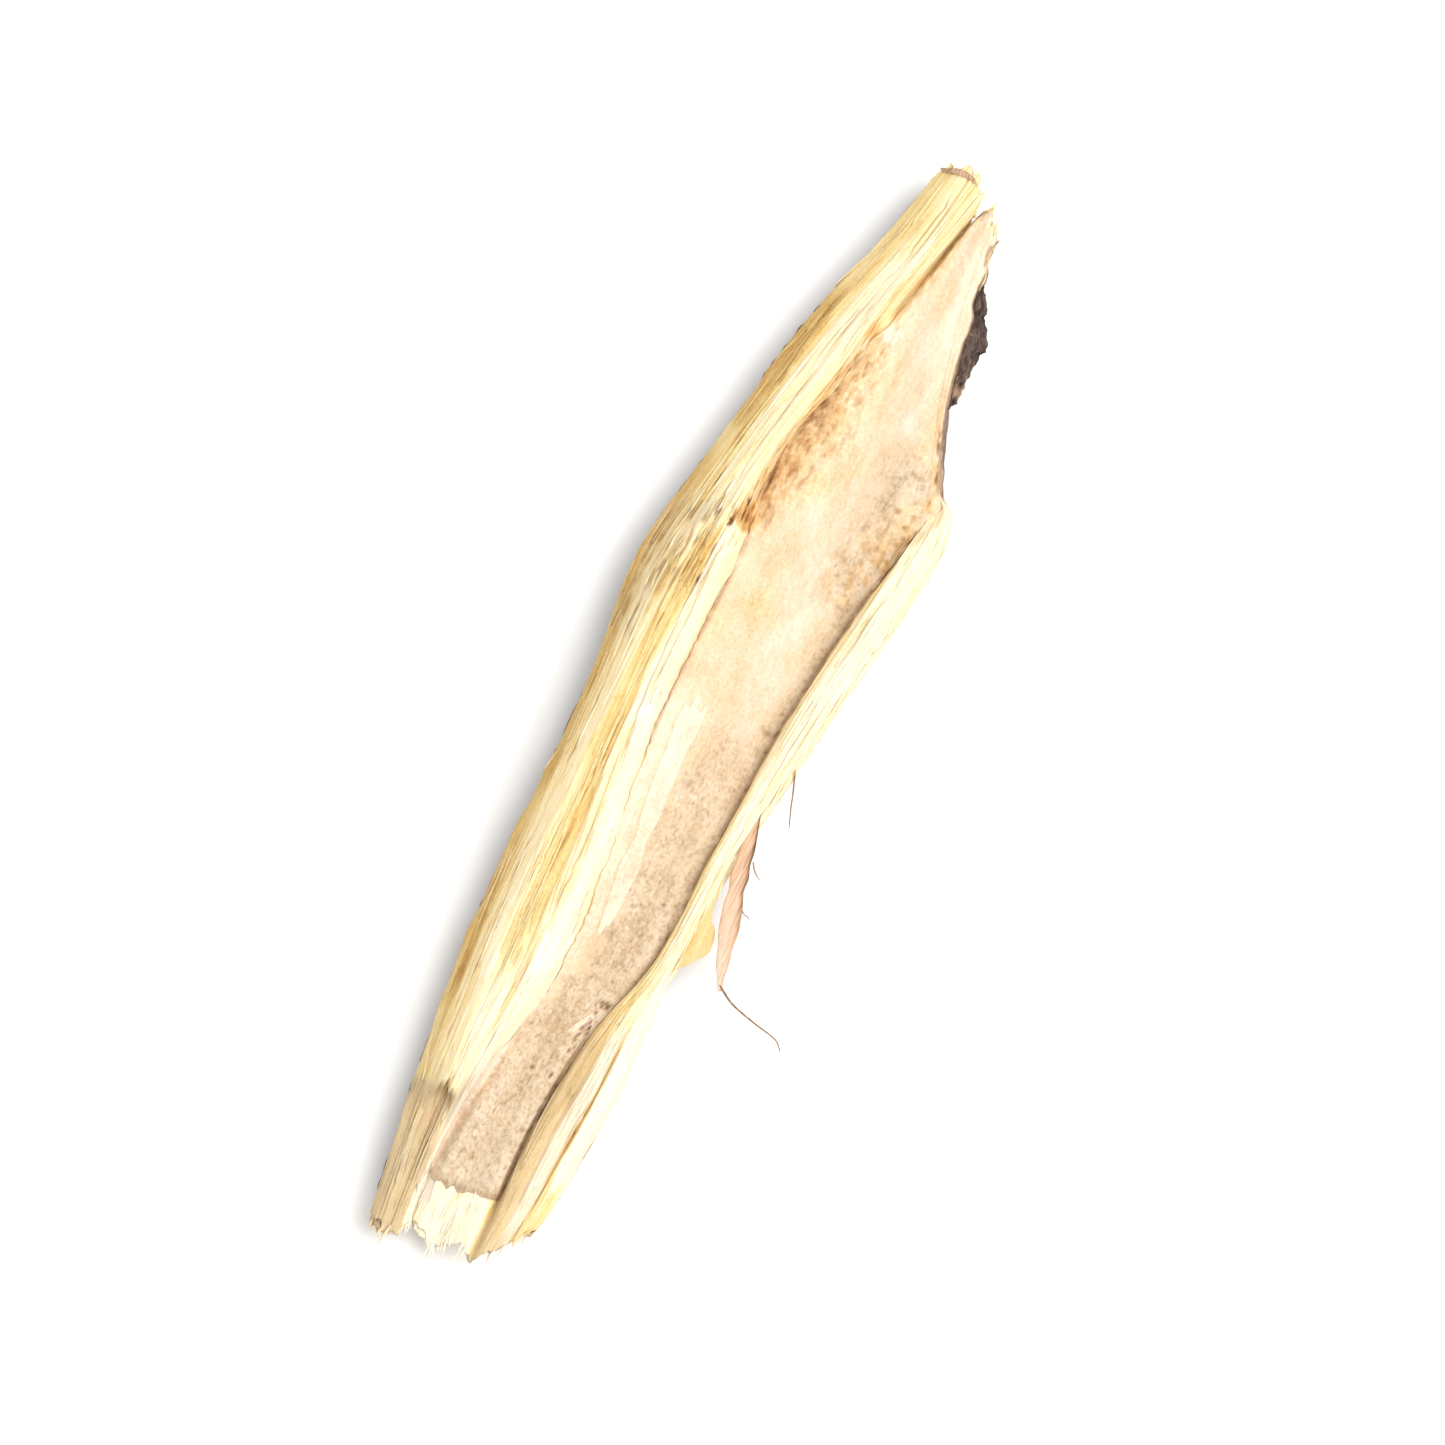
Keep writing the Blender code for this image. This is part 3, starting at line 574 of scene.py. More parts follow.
def loop_round(face, side, back):
    """Places round a section: across its face, down one side, across its back and up the other side."""
    down = np.linspace(1, 0, side, endpoint=False)
    return np.concatenate([
        np.stack([face, np.ones_like(face)], axis=1),
        np.stack([np.ones_like(down), down], axis=1),
        np.stack([np.linspace(1, 0, back, endpoint=False), np.zeros(back)], axis=1),
        np.stack([np.zeros_like(down), 1 - down], axis=1)])


def loop_faces(loops, points):
    """The faces of a closed surface of loops one after another, each of so many points."""
    first = np.arange(loops - 1)[:, None] * points
    here, after = np.arange(points), (np.arange(points) + 1) % points
    faces = np.stack([first + here, first + after, first + points + after, first + points + here], -1)
    ends = [list(range(points))[::-1], list(range((loops - 1) * points, loops * points))]
    return faces.reshape(-1, 4).tolist() + ends


def closed_surface(loop, along, rings):
    """A closed surface: the loop at so many steps along, and smaller ones that close both ends. Gives the
    three places of each point, from 0 to 1, and the faces."""
    smaller = np.linspace(0.02, 1, rings, endpoint=False)
    shares = np.concatenate([smaller, np.ones(along + 1), smaller[::-1]])
    steps = np.concatenate([np.zeros(rings), np.linspace(0, 1, along + 1), np.ones(rings)])
    across = 0.5 + (loop - 0.5) * shares[:, None, None]
    steps = np.repeat(steps, len(loop))
    return [*across.reshape(-1, 2).T, steps], loop_faces(len(shares), len(loop))


def make_piece(name, points, faces, material, **marks):
    """A mesh of points in mm, with a value or a vector at each point for each mark its material reads."""
    mesh = bpy.data.meshes.new(name)
    mesh.from_pydata(((points - REST_SPOT) * MM).tolist(), [], faces)
    mesh.shade_smooth()
    for mark, values in marks.items():
        vector = values.ndim == 2
        layer = mesh.attributes.new(mark, "FLOAT_VECTOR" if vector else "FLOAT", "POINT")
        layer.data.foreach_set("vector" if vector else "value", values.astype(np.float32).ravel())
    mesh.materials.append(material)
    made = bpy.data.objects.new(name, mesh)
    bpy.context.scene.collection.objects.link(made)
    return made


def colour(code):
    """An sRGB hex colour as the linear colour that a shader takes."""
    shares = [int(code[k:k + 2], 16) / 255 for k in (1, 3, 5)]
    return (*(c / 12.92 if c <= 0.04045 else ((c + 0.055) / 1.055) ** 2.4 for c in shares), 1)


def add(tree, kind, feeds=(), stops=(), **settings):
    """Adds a node. Feeds are its sockets' values, or the nodes and sockets that feed them, by the sockets'
    identifiers, and stops are a ramp's places and colours."""
    made = tree.nodes.new(kind)
    for setting, value in settings.items():
        setattr(made, setting, value)
    if stops:
        while len(made.color_ramp.elements) < len(stops):
            made.color_ramp.elements.new(0.5)
        for element, (place, code) in zip(made.color_ramp.elements, stops):
            element.position = place
            element.color = colour(code)
    sockets = {socket.identifier: socket for socket in made.inputs}
    for name, value in dict(feeds).items():
        if isinstance(value, bpy.types.Node):
            value = next(socket for socket in value.outputs if socket.enabled)
        if isinstance(value, bpy.types.NodeSocket):
            tree.links.new(value, sockets[name])
        else:
            sockets[name].default_value = value
    return made


def new_material(name, marks):
    """An empty material, its node tree, and the marks of the mesh that it reads."""
    made = bpy.data.materials.new(name)
    made.use_nodes = True
    tree = made.node_tree
    tree.nodes.clear()
    read = {mark: add(tree, "ShaderNodeAttribute", attribute_name=mark).outputs["Fac"] for mark in marks}
    return made, tree, read


def mottled(tree, tone, textures):
    """A tone made uneven by noises drawn out along the grain. Each has its width and length in mm, its detail
    and how much it changes the tone. Gives the tone and the noises."""
    grain = add(tree, "ShaderNodeAttribute", attribute_name="grain").outputs["Vector"]
    noises = []
    for width, length, detail, strength in textures:
        scaled = add(tree, "ShaderNodeMapping", {
            "Vector": grain, "Scale": (1 / length, 1 / width, 1 / width)})
        noises.append(add(tree, "ShaderNodeTexNoise", {
            "Vector": scaled, "Scale": 1.0, "Detail": detail, "Roughness": 0.62, "Distortion": 0.3}))
        change = add(tree, "ShaderNodeMath", {"Value": noises[-1], "Value_001": 0.5}, operation="SUBTRACT")
        tone = add(tree, "ShaderNodeMath", {
            "Value": change, "Value_001": strength, "Value_002": tone}, operation="MULTIPLY_ADD")
    return tone, noises


# Browned tissue, where the chip is torn open beside the left wall: its colours from the darkest to the palest
BROWNED_TISSUE = [(0.0, "#96602F"), (0.25, "#C68F54"), (0.5, "#DFB578"), (0.75, "#EACD9A"), (1.0, "#F0E2C2")]


def split_root_wood():
    """Dried, split root wood: matt and straw pale, with a soft sheen along its fibres. The eye gets long
    streaks from ochre to cream, hair-fine brown lines between the bundles, and dark short cracks."""
    made, tree, marks = new_material("split_root_wood", ("tone", "dark", "warm", "rose", "dull"))
    level, (_, fibres, pores, *_, cells) = mottled(tree, marks["tone"], [
        (0.24, 3.4, 5.0, 0.34), (0.055, 0.9, 3.0, 0.27), (0.05, 0.3, 2.0, 0.0), (0.7, 1.6, 5.0, 0.4),
        (0.16, 0.4, 3.0, 0.25), (0.05, 0.1, 3.0, 0.4)])
    straw = add(tree, "ShaderNodeValToRGB", {"Fac": level}, [
        (0.0, "#A87842"), (0.18, "#CB9F5D"), (0.34, "#E0BE7C"), (0.5, "#EDD398"), (0.66, "#F3DFB2"),
        (0.82, "#F7E8C7"), (1.0, "#F8EFD8")])
    # Grey-tan tones for the dull mark: painted shade below the left wall's step, and the tan groove and the
    # mottled flank
    dull = add(tree, "ShaderNodeValToRGB", {"Fac": level}, [
        (0.0, "#94754D"), (0.4, "#C9AE84"), (0.7, "#DAC49D"), (1.0, "#E5D7B9")])
    warm = add(tree, "ShaderNodeValToRGB", {"Fac": level}, BROWNED_TISSUE)
    rose = add(tree, "ShaderNodeValToRGB", {"Fac": level}, [
        (0.0, "#A88561"), (0.35, "#D2B38C"), (0.65, "#E5D0B3"), (1.0, "#EFE2CF")])
    base = straw
    for mark, tones in (("dull", dull), ("warm", warm), ("rose", rose)):
        base = add(tree, "ShaderNodeMix", {"Factor_Float": marks[mark], "A_Color": base, "B_Color": tones},
                   data_type="RGBA")
    for texture, start, end, share, code in (
            (fibres, 0.4, 0.28, 0.2, "#B8864A"), (pores, 0.3, 0.2, 0.34, "#9C6E3A")):
        lines = add(tree, "ShaderNodeMapRange", {
            "Value": texture, "From Min": start, "From Max": end, "To Min": 0.0, "To Max": share})
        base = add(tree, "ShaderNodeMix", {"Factor_Float": lines, "A_Color": base, "B_Color": colour(code)},
                   data_type="RGBA")
    base = add(tree, "ShaderNodeMix", {
        "Factor_Float": marks["dark"], "A_Color": base, "B_Color": colour("#80552D")}, data_type="RGBA")
    bump = add(tree, "ShaderNodeBump", {
        "Strength": 0.7, "Distance": 0.03 * MM,
        "Height": add(tree, "ShaderNodeMath", {"Value": fibres, "Value_001": cells}, operation="ADD")})
    shader = add(tree, "ShaderNodeBsdfPrincipled", {
        "Base Color": base, "Roughness": 0.8, "IOR": 1.45, "Specular IOR Level": 0.2,
        "Subsurface Weight": 0.25, "Subsurface Radius": (1.0, 0.75, 0.45), "Subsurface Scale": 0.2 * MM,
        "Normal": bump})
    add(tree, "ShaderNodeOutputMaterial", {"Surface": shader})
    return made


wood_finish = split_root_wood()


def wood_marks(u, v, x):
    """The marks that the wood's material reads: the grain's own place, how pale it is, its stains, and
    painted shade and light.
    """
    across = u * FACE_WIDTH - SIDE_HEIGHT * (1 - v)
    _, tint = standing_wood(u, x)
    torn, notch = torn_zone(u, x), notch_brown_and_shade(u, x)
    tan, flank = area(u, x, *TAN_GROOVE), area(u, x, *MOTTLED_FLANK) * rise(v, 0.75, 1)
    # paler where the fibre bundles stand high and darker in the splits between them, following the face's
    # relief: partly each bundle's own tone, partly painted light on the ridges and painted shade in the
    # splits
    tone = WOOD_TONE + tint + wood_bands(u, x) + 0.35 * fibre_relief(across, x, SEED + 40)
    tone = tone + 0.06 * noise(across / 0.6, x / 7, SEED + 60, 0.4)
    tone = tone + 0.035 * noise(across / 0.13, x / 2.2, SEED + 61, 0.5, 0.8)
    tone = tone + torn * (0.04 + 0.2 * noise(across / 0.12, x / 0.4, SEED + 65, 0.4, 0.4))
    # painted shade in the notch above the broken layer, over its browned tissue
    tone = tone - notch * (0.26 + 0.2 * noise(across / 0.1, x / 0.15, SEED + 98))
    tone = tone + flank * (0.03 + 0.18 * noise(across / 0.08, x / 0.3, SEED + 59))
    tone = tone - 0.06 * (1 - rise(v, 0.3, 0.9)) * (u < 0.5)            # painted shade on the left side, below the face
    tone = tone + 0.06 * rise(u, 0.77, 0.8) * rise(x, 6.0, 8.0)         # the right wall
    crack = rise(x, END_CRACK[0][0], 26.2) * near(u, straight(END_CRACK, x) + 0.004, 0.03)
    browned = patches(u, x, 0.13, 0.3, -0.1, 0.5, SEED + 56) * area(u, x, *BROWNED_CREST)
    rust = patches(u, x, 0.08, 0.22, 0.0, 0.4, SEED + 57) * streak(u, x, *RUSTY_STREAK)
    dark = dark_cracks(u, x) * rise(v, 0.8, 1) + 0.5 * crack + 0.2 * notch + 0.55 * browned + 0.45 * rust
    dark = dark + 0.4 * streak(u, x, *FLANK_LINE) + 0.4 * streak(u, x, *GROOVE_LINE)
    warm = 0.9 * torn + 0.85 * notch + 0.7 * crack
    warm = warm + 0.7 * rise(u, 0.95, 0.98) * rise(x, 21.8, 22.4)       # above the right wall's point
    # painted shade: the flank below the left wall's step, where its upper layer broke off, gets the grey-tan
    # dull tones
    painted_shade_below_step = (1 - rise(x, WALL_STEP - 0.2, WALL_STEP + 0.1)) * (1 - rise(u, 0.27, 0.29))
    return {
        "grain": np.stack([x, across, v * SIDE_HEIGHT], axis=1),
        "tone": tone,
        "dark": np.clip(dark, 0, 1),
        "warm": np.clip(warm, 0, 1),
        "rose": 0.95 * area(u, x, *ROSY_RIGHT) + 0.7 * area(u, x, *ROSY_LEFT),
        "dull": painted_shade_below_step + 0.75 * tan + 0.5 * flank,
    }


face = np.concatenate([np.linspace(low, high, count, endpoint=False) for low, high, count in WOOD_FACE])
places, faces = closed_surface(loop_round(face, WOOD_SIDE, WOOD_BACK), WOOD_ALONG, WOOD_RINGS)
points = wood_point(*places)
marks = wood_marks(places[0], places[1], points[:, 0])
end_faces = (places[2] <= 0) | (places[2] >= 1)
fibre_ends = noise(places[0] * FACE_WIDTH / FIBRE_END, places[1] * SIDE_HEIGHT / FIBRE_END, SEED + 113)
marks["tone"] = marks["tone"] + end_faces * (0.25 * fibre_ends - 0.05)
wood = make_piece("root_wood", points, faces, wood_finish, **marks)
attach(wood, "root")
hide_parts("root_chip")


# The pith.
# It is the soft core of the root stock, split open: smooth and pale in the upper half, torn and granular in
# the lower. It has grown to the wood on both sides, and its edges go down into it.

# Points of its mesh: across, down a side, underneath, along, and over an end
PITH_FACE, PITH_SIDE, PITH_BACK, PITH_ALONG, PITH_RINGS = 132, 2, 6, 540, 4
PITH_DEEP = 0.5
PITH_EDGE = 0.03            # how much of its width is the edge that goes down into the wood
PITH_EDGE_DOWN = 0.26       # and how far down that edge goes
PITH_TONE = 0.55            # from 0, the darkest of its colours, to 1, the palest
GRAIN_SIZE = 0.14           # granules of the torn pith
# Where the lower half turns granular: place along, and from which place in the width
GRANULAR_FROM = [(1.0, 0.4), (2.4, 0.42), (4.4, 0.4), (5.5, 0.4), (6.8, 0.46), (8.0, 0.52), (15.0, 0.54),
                 (30.0, 0.54)]
GRANULAR_BELOW = 13.6       # above here only streaks of it are granular
# These streaks: how strong, middle and reach in the width, from, to and how soft the ends are
GRANULAR_STREAKS = [(1.0, 0.735, 0.06, 13.5, 20.0, 1.5), (1.3, 0.7, 0.13, 18.6, 22.8, 0.8),
                    (0.5, 0.9, 0.13, 22.0, 24.6, 0.6)]
TORN_PITS, PITS_FROM, PITS_TO = 22, 4.7, 7.1        # a row of small pits beside the right wall
# Pale layers that stand on it: from, to, middle in the width, half width
PALE_SLIVER = (8.0, 15.6, 0.5, 0.03)
PALE_FLAP, FLAP_SLANT = (5.7, 7.1, 0.605, 0.022), 0.085
# Brown specks: place along, place across to the right, reach
BROWN_SPECKS = [(4.87, -0.28, 0.11), (9.97, 0.97, 0.09), (12.6, 0.55, 0.06)]
# Streaks: middle and reach in the width, then from, to and how soft its ends are
PITH_GROOVE_LINE = (0.736, 0.014, 1.2, 5.0, 0.4)
PITH_RUST = (0.4, 0.05, 19.8, 25.2, 0.4)
PALE_MIDDLE = (0.6, 0.2, 15.0, 21.5, 1.5)
BROWNED_PATH, BROWNED_REACH = [(19.0, 0.72), (21.5, 0.76), (23.5, 0.9)], (0.15, 18.8, 23.8, 0.6)
# Spots: middle and reach in the width, middle and reach along
PALE_CORNER = (0.475, 0.05, 25.4, 0.4)
WARM_SPOT = (0.53, 0.1, 17.8, 0.9)
ROSY_SPOT = (0.66, 0.07, 23.5, 0.5)
# Areas: from, to and how soft its sides are in the width, then the same along
ROSY_STRIP = (0.3, 0.468, 0.03, 7.6, 15.2, 0.8)
ROSY_EDGE = (0.3, 0.42, 0.02, 1.2, 5.0, 0.4)
# Brown marks near the upper end and beside the right rim: how strong, the spot, how ragged, and from and to
# which share of it the brown comes up
END_MARKS = [
    (1.0, (0.94, 0.12, 28.25, 0.55), 0.3, 0.25, 0.6),
    (1.0, (0.96, 0.06, 27.55, 0.35), 0.3, 0.3, 0.6),
    (1.0, (0.58, 0.09, 29.25, 0.35), 0.3, 0.25, 0.6),
    (0.8, (0.95, 0.16, 22.9, 1.5), 0.45, 0.35, 0.75),
]


def granular(u, x):
    """1 where the pith is torn into granules, and 0 where it is whole."""
    ragged = 0.03 * noise(x / 0.4, u * 0, SEED + 70) + 0.014 * noise(x / 0.12, u * 0, SEED + 71)
    border = straight(GRANULAR_FROM, x)
    lower = rise(u + ragged, border - 0.02, border + 0.03)
    wide = 1.6 * noise(u * FACE_WIDTH / 0.5, x / 1.0, SEED + 72)
    lower = lower * (1 - rise(x + wide, GRANULAR_BELOW - 1.6, GRANULAR_BELOW + 2.4))
    above = sum(strength * streak(u, x, *place) for strength, *place in GRANULAR_STREAKS)
    above = above * patches(u, x, 0.24, 0.4, -1.1, -0.2, SEED + 73)
    return np.clip(lower * (1 - 0.25 * rise(x, 9.5, 11.5)) + 0.9 * above, 0, 1)


def pith_relief(u, x, across):
    """How high the pith's surface stands: soft swells, granules where it is torn, and a row of small pits.
    Its grain is turned, so that no line of it follows the chip."""
    one, two = 0.8 * across + 0.6 * x, 0.8 * x - 0.6 * across
    swells = (0.05 * noise(across / 0.9, x / 2.2, SEED + 74) + 0.03 * noise(one / 0.4, two / 0.5, SEED + 75)
              + 0.014 * noise(one / 0.15, two / 0.19, SEED + 76))
    granules = (noise(one / GRAIN_SIZE, two / GRAIN_SIZE, SEED + 77)
                + 0.7 * noise(one / (0.5 * GRAIN_SIZE), two / (0.5 * GRAIN_SIZE), SEED + 78))
    torn = torn_zone(u, x)
    streaks = 0.05 * noise(across / 0.12, x / 0.9, SEED + 79, 0.4, 0.7)
    flap = torn_layer(u - FLAP_SLANT * (x - PALE_FLAP[0]), x, PALE_FLAP, SEED + 96)
    sliver = np.maximum(torn_layer(u, x, PALE_SLIVER, SEED + 80), flap)
    random = np.random.default_rng(SEED + 89)
    pits = 0
    for _ in range(TORN_PITS):
        along = random.uniform(PITS_FROM, PITS_TO)
        middle = 0.665 + 0.006 * along + random.normal(0, 0.014)
        deep, reach = random.uniform(0.3, 1), random.uniform(0.01, 0.018)
        pits = np.maximum(pits, deep * spot(u, x, middle, reach, along, 0.13))
    loose = granular(u, x) * (1 - sliver)
    depth = 0.005 + 0.013 * loose - 0.002 * torn
    relief = swells + granules * depth + torn * streaks + 0.05 * sliver - 0.14 * pits
    return relief, loose, granules, sliver, pits


def pith_tissue():
    """Dried pith: corky, dull and soft, with no gloss. The eye gets a pale felt that breaks up, where it is
    torn, into granules of about 0.1 mm with brown gaps between them."""
    made, tree, marks = new_material("pith_tissue", ("tone", "coarse", "dark", "rose", "warm"))
    level, (_, felt, _, grains) = mottled(tree, marks["tone"], [
        (0.6, 1.1, 5.0, 0.7), (0.07, 0.1, 4.0, 0.75), (0.08, 0.9, 3.0, 0.3), (0.12, 0.15, 2.0, 0.0)])
    smooth = add(tree, "ShaderNodeValToRGB", {"Fac": level}, [
        (0.0, "#AD8761"), (0.28, "#CFAC86"), (0.55, "#DFC4A3"), (0.8, "#E7D2BA"), (1.0, "#ECDECD")])
    torn = add(tree, "ShaderNodeValToRGB", {"Fac": level}, [
        (0.0, "#896D53"), (0.25, "#B09576"), (0.55, "#CFB99B"), (0.8, "#DDCCB5"), (1.0, "#E5D9C8")])
    rosy = add(tree, "ShaderNodeValToRGB", {"Fac": level}, [
        (0.0, "#C29D80"), (0.35, "#DDC2A9"), (0.6, "#EAD9C4"), (1.0, "#EFE5DA")])
    warm = add(tree, "ShaderNodeValToRGB", {"Fac": level}, BROWNED_TISSUE)
    base = smooth
    for mark, tones in (("warm", warm), ("coarse", torn), ("rose", rosy)):
        base = add(tree, "ShaderNodeMix", {"Factor_Float": marks[mark], "A_Color": base, "B_Color": tones},
                   data_type="RGBA")
    gaps = add(tree, "ShaderNodeMath", {
        "Value": add(tree, "ShaderNodeMapRange", {
            "Value": grains, "From Min": 0.5, "From Max": 0.34, "To Min": 0.0, "To Max": 0.38}),
        "Value_001": marks["coarse"]}, operation="MULTIPLY")
    specks = add(tree, "ShaderNodeMapRange", {
        "Value": grains, "From Min": 0.3, "From Max": 0.22, "To Min": 0.0, "To Max": 0.35})
    for share, code in ((gaps, "#A37B52"), (specks, "#A67B50"), (marks["dark"], "#7A5230")):
        base = add(tree, "ShaderNodeMix", {"Factor_Float": share, "A_Color": base, "B_Color": colour(code)},
                   data_type="RGBA")
    bump = add(tree, "ShaderNodeBump", {
        "Strength": 0.7, "Distance": 0.03 * MM,
        "Height": add(tree, "ShaderNodeMath", {"Value": felt, "Value_001": grains}, operation="ADD")})
    shader = add(tree, "ShaderNodeBsdfPrincipled", {
        "Base Color": base, "Roughness": 0.9, "IOR": 1.4, "Specular IOR Level": 0.15,
        "Subsurface Weight": 0.3, "Subsurface Radius": (1.0, 0.7, 0.5), "Subsurface Scale": 0.2 * MM,
        "Normal": bump})
    add(tree, "ShaderNodeOutputMaterial", {"Surface": shader})
    return made


def pith_marks(u, x, across, edge, coarse, granules, sliver, pits):
    """The marks that the pith's material reads, apart from its grain."""
    torn, notch = torn_zone(u, x), notch_brown_and_shade(u, x)
    left = straight(PITH_LEFT_SIDE, x)
    rough = noise(across / 0.1, x / 0.16, SEED + 83)
    torn_lines = rise(noise(across / 0.09, x / 0.42, SEED + 115, 0.3, 0.3) + 0.3 * rough, 0.25, 0.6) * torn
    specks = sum(near(np.hypot(x - along, across - at), 0, reach) for along, at, reach in BROWN_SPECKS)
    browned = streak(u, x, straight(BROWNED_PATH, x), *BROWNED_REACH)
    browned = browned * rise(noise(across / 0.3, x / 0.26, SEED + 97) + 0.5 * rough, -0.5, 0.5)
    beside_crack = near(u, left, 0.085) * rise(x, 25.2, 26.2)

    tone = PITH_TONE + 0.04 * granules * coarse - 0.1 * (1 - edge) + 0.04 * rise(x, 20, 24)
    tone = tone + 0.09 * noise(across / 0.28, x / 3, SEED + 84) + 0.12 * rise(x, 24.5, 26.5)
    tone = tone + 0.1 * streak(u, x, *PALE_MIDDLE) + 0.5 * spot(u, x, *PALE_CORNER)
    # the notch above the broken layer is darker: browned tissue with painted shade
    tone = tone - 0.1 * browned - 0.26 * notch - 0.1 * torn_lines + 0.5 * torn * (1 - torn)
    tone = tone + torn * (0.16 * noise(across / 0.14, x / 0.35, SEED + 85, 0.3, 0.3)
                          + 0.22 * noise(across / 0.08, x / 0.12, SEED + 95) - 0.1)

    warm = 1.1 * torn + specks + 0.9 * beside_crack + 0.9 * notch + 0.7 * browned
    warm = warm + 0.5 * spot(u, x, *WARM_SPOT) * patches(u, x, 0.3, 0.5, -0.6, 0.4, SEED + 86)
    warm = warm + 0.35 * patches(u, x, 0.4, 1.0, 0.2, 0.8, SEED + 87) * rise(x, 14, 18)

    right_crack = streak(u, x, straight(EDGE_CRACK, x) - 0.006, 0.02, 7.5, 21.0, 0.7)
    left_crack = streak(u, x, left - 0.002, 0.012, 13.5, 19.3, 0.5)
    rust = patches(u, x, 0.08, 0.22, 0.0, 0.4, SEED + 57) * streak(u, x, *PITH_RUST)
    rust = rust + 0.5 * torn * patches(u, x, 0.07, 0.3, 0.45, 0.7, SEED + 81)
    brown_grains = patches(u, x, 0.09, 0.12, 0.55, 0.8, SEED + 82) * coarse
    end_marks = sum(strength * rise(spot(u, x, *place) + ragged * rough, low, high)
                    for strength, place, ragged, low, high in END_MARKS)
    dark = (0.6 * right_crack + 0.5 * left_crack) * patches(u, x, 9.0, 0.3, -0.9, 0.1, SEED + 88)
    dark = dark + 0.6 * streak(u, x, *PITH_GROOVE_LINE) + 0.9 * pits + 0.8 * specks + 0.4 * torn_lines
    dark = dark + 0.5 * rust + 0.35 * brown_grains + 0.6 * end_marks
    dark = dark + 0.4 * beside_crack * rise(rough, -0.7, 0.3) + 0.35 * browned * rise(rough, 0, 0.5)

    rose = 0.8 * sliver + 0.6 * area(u, x, *ROSY_STRIP)
    rose = rose + 0.8 * area(u, x, *ROSY_EDGE) + 0.7 * spot(u, x, *ROSY_SPOT)
    return {
        "tone": tone,
        "coarse": np.maximum(coarse * (1 - np.maximum(torn, 0.8 * browned)), 0.4 * torn),
        "warm": np.clip(warm, 0, 1),
        "dark": np.clip(dark, 0, 1),
        "rose": np.clip(rose, 0, 1),
    }


face = np.linspace(0, 1, PITH_FACE, endpoint=False)
(a, b, c), faces = closed_surface(loop_round(face, PITH_SIDE, PITH_BACK), PITH_ALONG, PITH_RINGS)
lower = PITH_FROM + 0.2 * noise(a * 7, a * 0, SEED + 90) + 0.07 * noise(a * 24, a * 0, SEED + 91)
upper = line(UPPER_END, PITH_LEFT_AT + 0.08 + a * 0.48) - 0.15 + 0.15 * noise(a * 24, a * 0, SEED + 92, 0.5)
x = between(lower, upper, c)
ragged = 0.006 * noise(x / 0.7, a * 0, SEED + 93) + 0.004 * noise(x / 0.13, a * 0, SEED + 94)
left, right = straight(PITH_LEFT_SIDE, x) - 0.012 + ragged, straight(PITH_RIGHT_SIDE, x) + 0.012
u = between(left, right, a)
y = place_across(u, np.ones_like(u), x)
relief, coarse, granules, sliver, pits = pith_relief(u, x, -y)
edge = rise(np.minimum(a, 1 - a), 0, PITH_EDGE)
top = face_height(u, x, y) + relief - PITH_EDGE_DOWN * (1 - edge) - 0.16 * (1 - rise(x - lower, 0, 0.2))
pith = make_piece("root_pith", np.stack([x, y, top - PITH_DEEP * (1 - b)], axis=1), faces, pith_tissue(),
                  grain=np.stack([x, -y, b * PITH_DEEP], axis=1),
                  **pith_marks(u, x, -y, edge, coarse, granules, sliver, pits))
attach(pith, "root")
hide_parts("root_chip")


# The bark.
# Thin dark cork over a little pinkish inner bark covers the round back, wrinkled lengthwise as the root
# dried. It has grown on the wood, and it is torn along both sides and short of both ends.

# Points of its mesh: across the outside, down a side, across the inside, along, and over an end
BARK_OUTSIDE, BARK_SIDE, BARK_INSIDE, BARK_ALONG, BARK_RINGS = 150, 2, 24, 380, 3
BARK_LEFT_TOP, BARK_RIGHT_TOP = 0.34, 0.5       # how far up the sides it reaches, as a share of their height
BARK_REACHES_FACE = (22.3, 28.0)                # here it reaches the face at the right side
BARK_SIDE_SHARE = 0.1                           # how much of the grid goes to each side
BACK_WIDTH = 8.4                                # round the back, for the widths of its wrinkles
BARK_LOWER_SHORT, BARK_UPPER_SHORT = 0.55, 0.6  # how far short of the wood's ends it is torn off
BARK_TONE = 0.45                                # from 0, the darkest of its colours, to 1, the palest


def bark_place(p, x):
    """The places u and v of a point that is p of the way round the back, from the left side to the right."""
    ragged = 0.1 * noise(x / 1.3, p * 0, SEED + 100) + 0.08 * noise(x / 0.35, p * 0, SEED + 101)
    reaches = within(x, *BARK_REACHES_FACE, 0.3)
    left_top = BARK_LEFT_TOP + ragged
    right_top = BARK_RIGHT_TOP + (1 - BARK_RIGHT_TOP) * reaches - ragged * (1 - 0.75 * reaches)
    u = np.clip((p - BARK_SIDE_SHARE) / (1 - 2 * BARK_SIDE_SHARE), 0, 1)
    v = (left_top * (1 - np.clip(p / BARK_SIDE_SHARE, 0, 1))
         + right_top * np.clip((p - 1 + BARK_SIDE_SHARE) / BARK_SIDE_SHARE, 0, 1))
    return u, v


def bark_line(p, x):
    """The point of the chip's plain surface p of the way round its back."""
    u, v = bark_place(p, x)
    y = place_across(u, v, x)
    back = back_height(u, x, y)
    return np.stack([x, y, back + v * (face_height(u, x, y) - back)], axis=1)


def bark_relief(p, x):
    """How high the bark's wrinkles stand, in mm."""
    round_back = p * BACK_WIDTH + 0.25 * noise(p * 5, x / 3, SEED + 102)
    wrinkles = (0.06 * noise(round_back / 0.62, x / 5.5, SEED + 103)
                + 0.04 * noise(round_back / 0.3, x / 2.6, SEED + 104))
    folds = 0.06 * (1 - rise(np.abs(noise(round_back / 0.8, x / 4.2, SEED + 105)), 0, 0.2))
    cross = 0.022 * noise(round_back / 0.9, x / 0.3, SEED + 106)
    crust = 0.016 * noise(round_back / 0.13, x / 0.16, SEED + 107)
    return wrinkles - folds + cross + crust


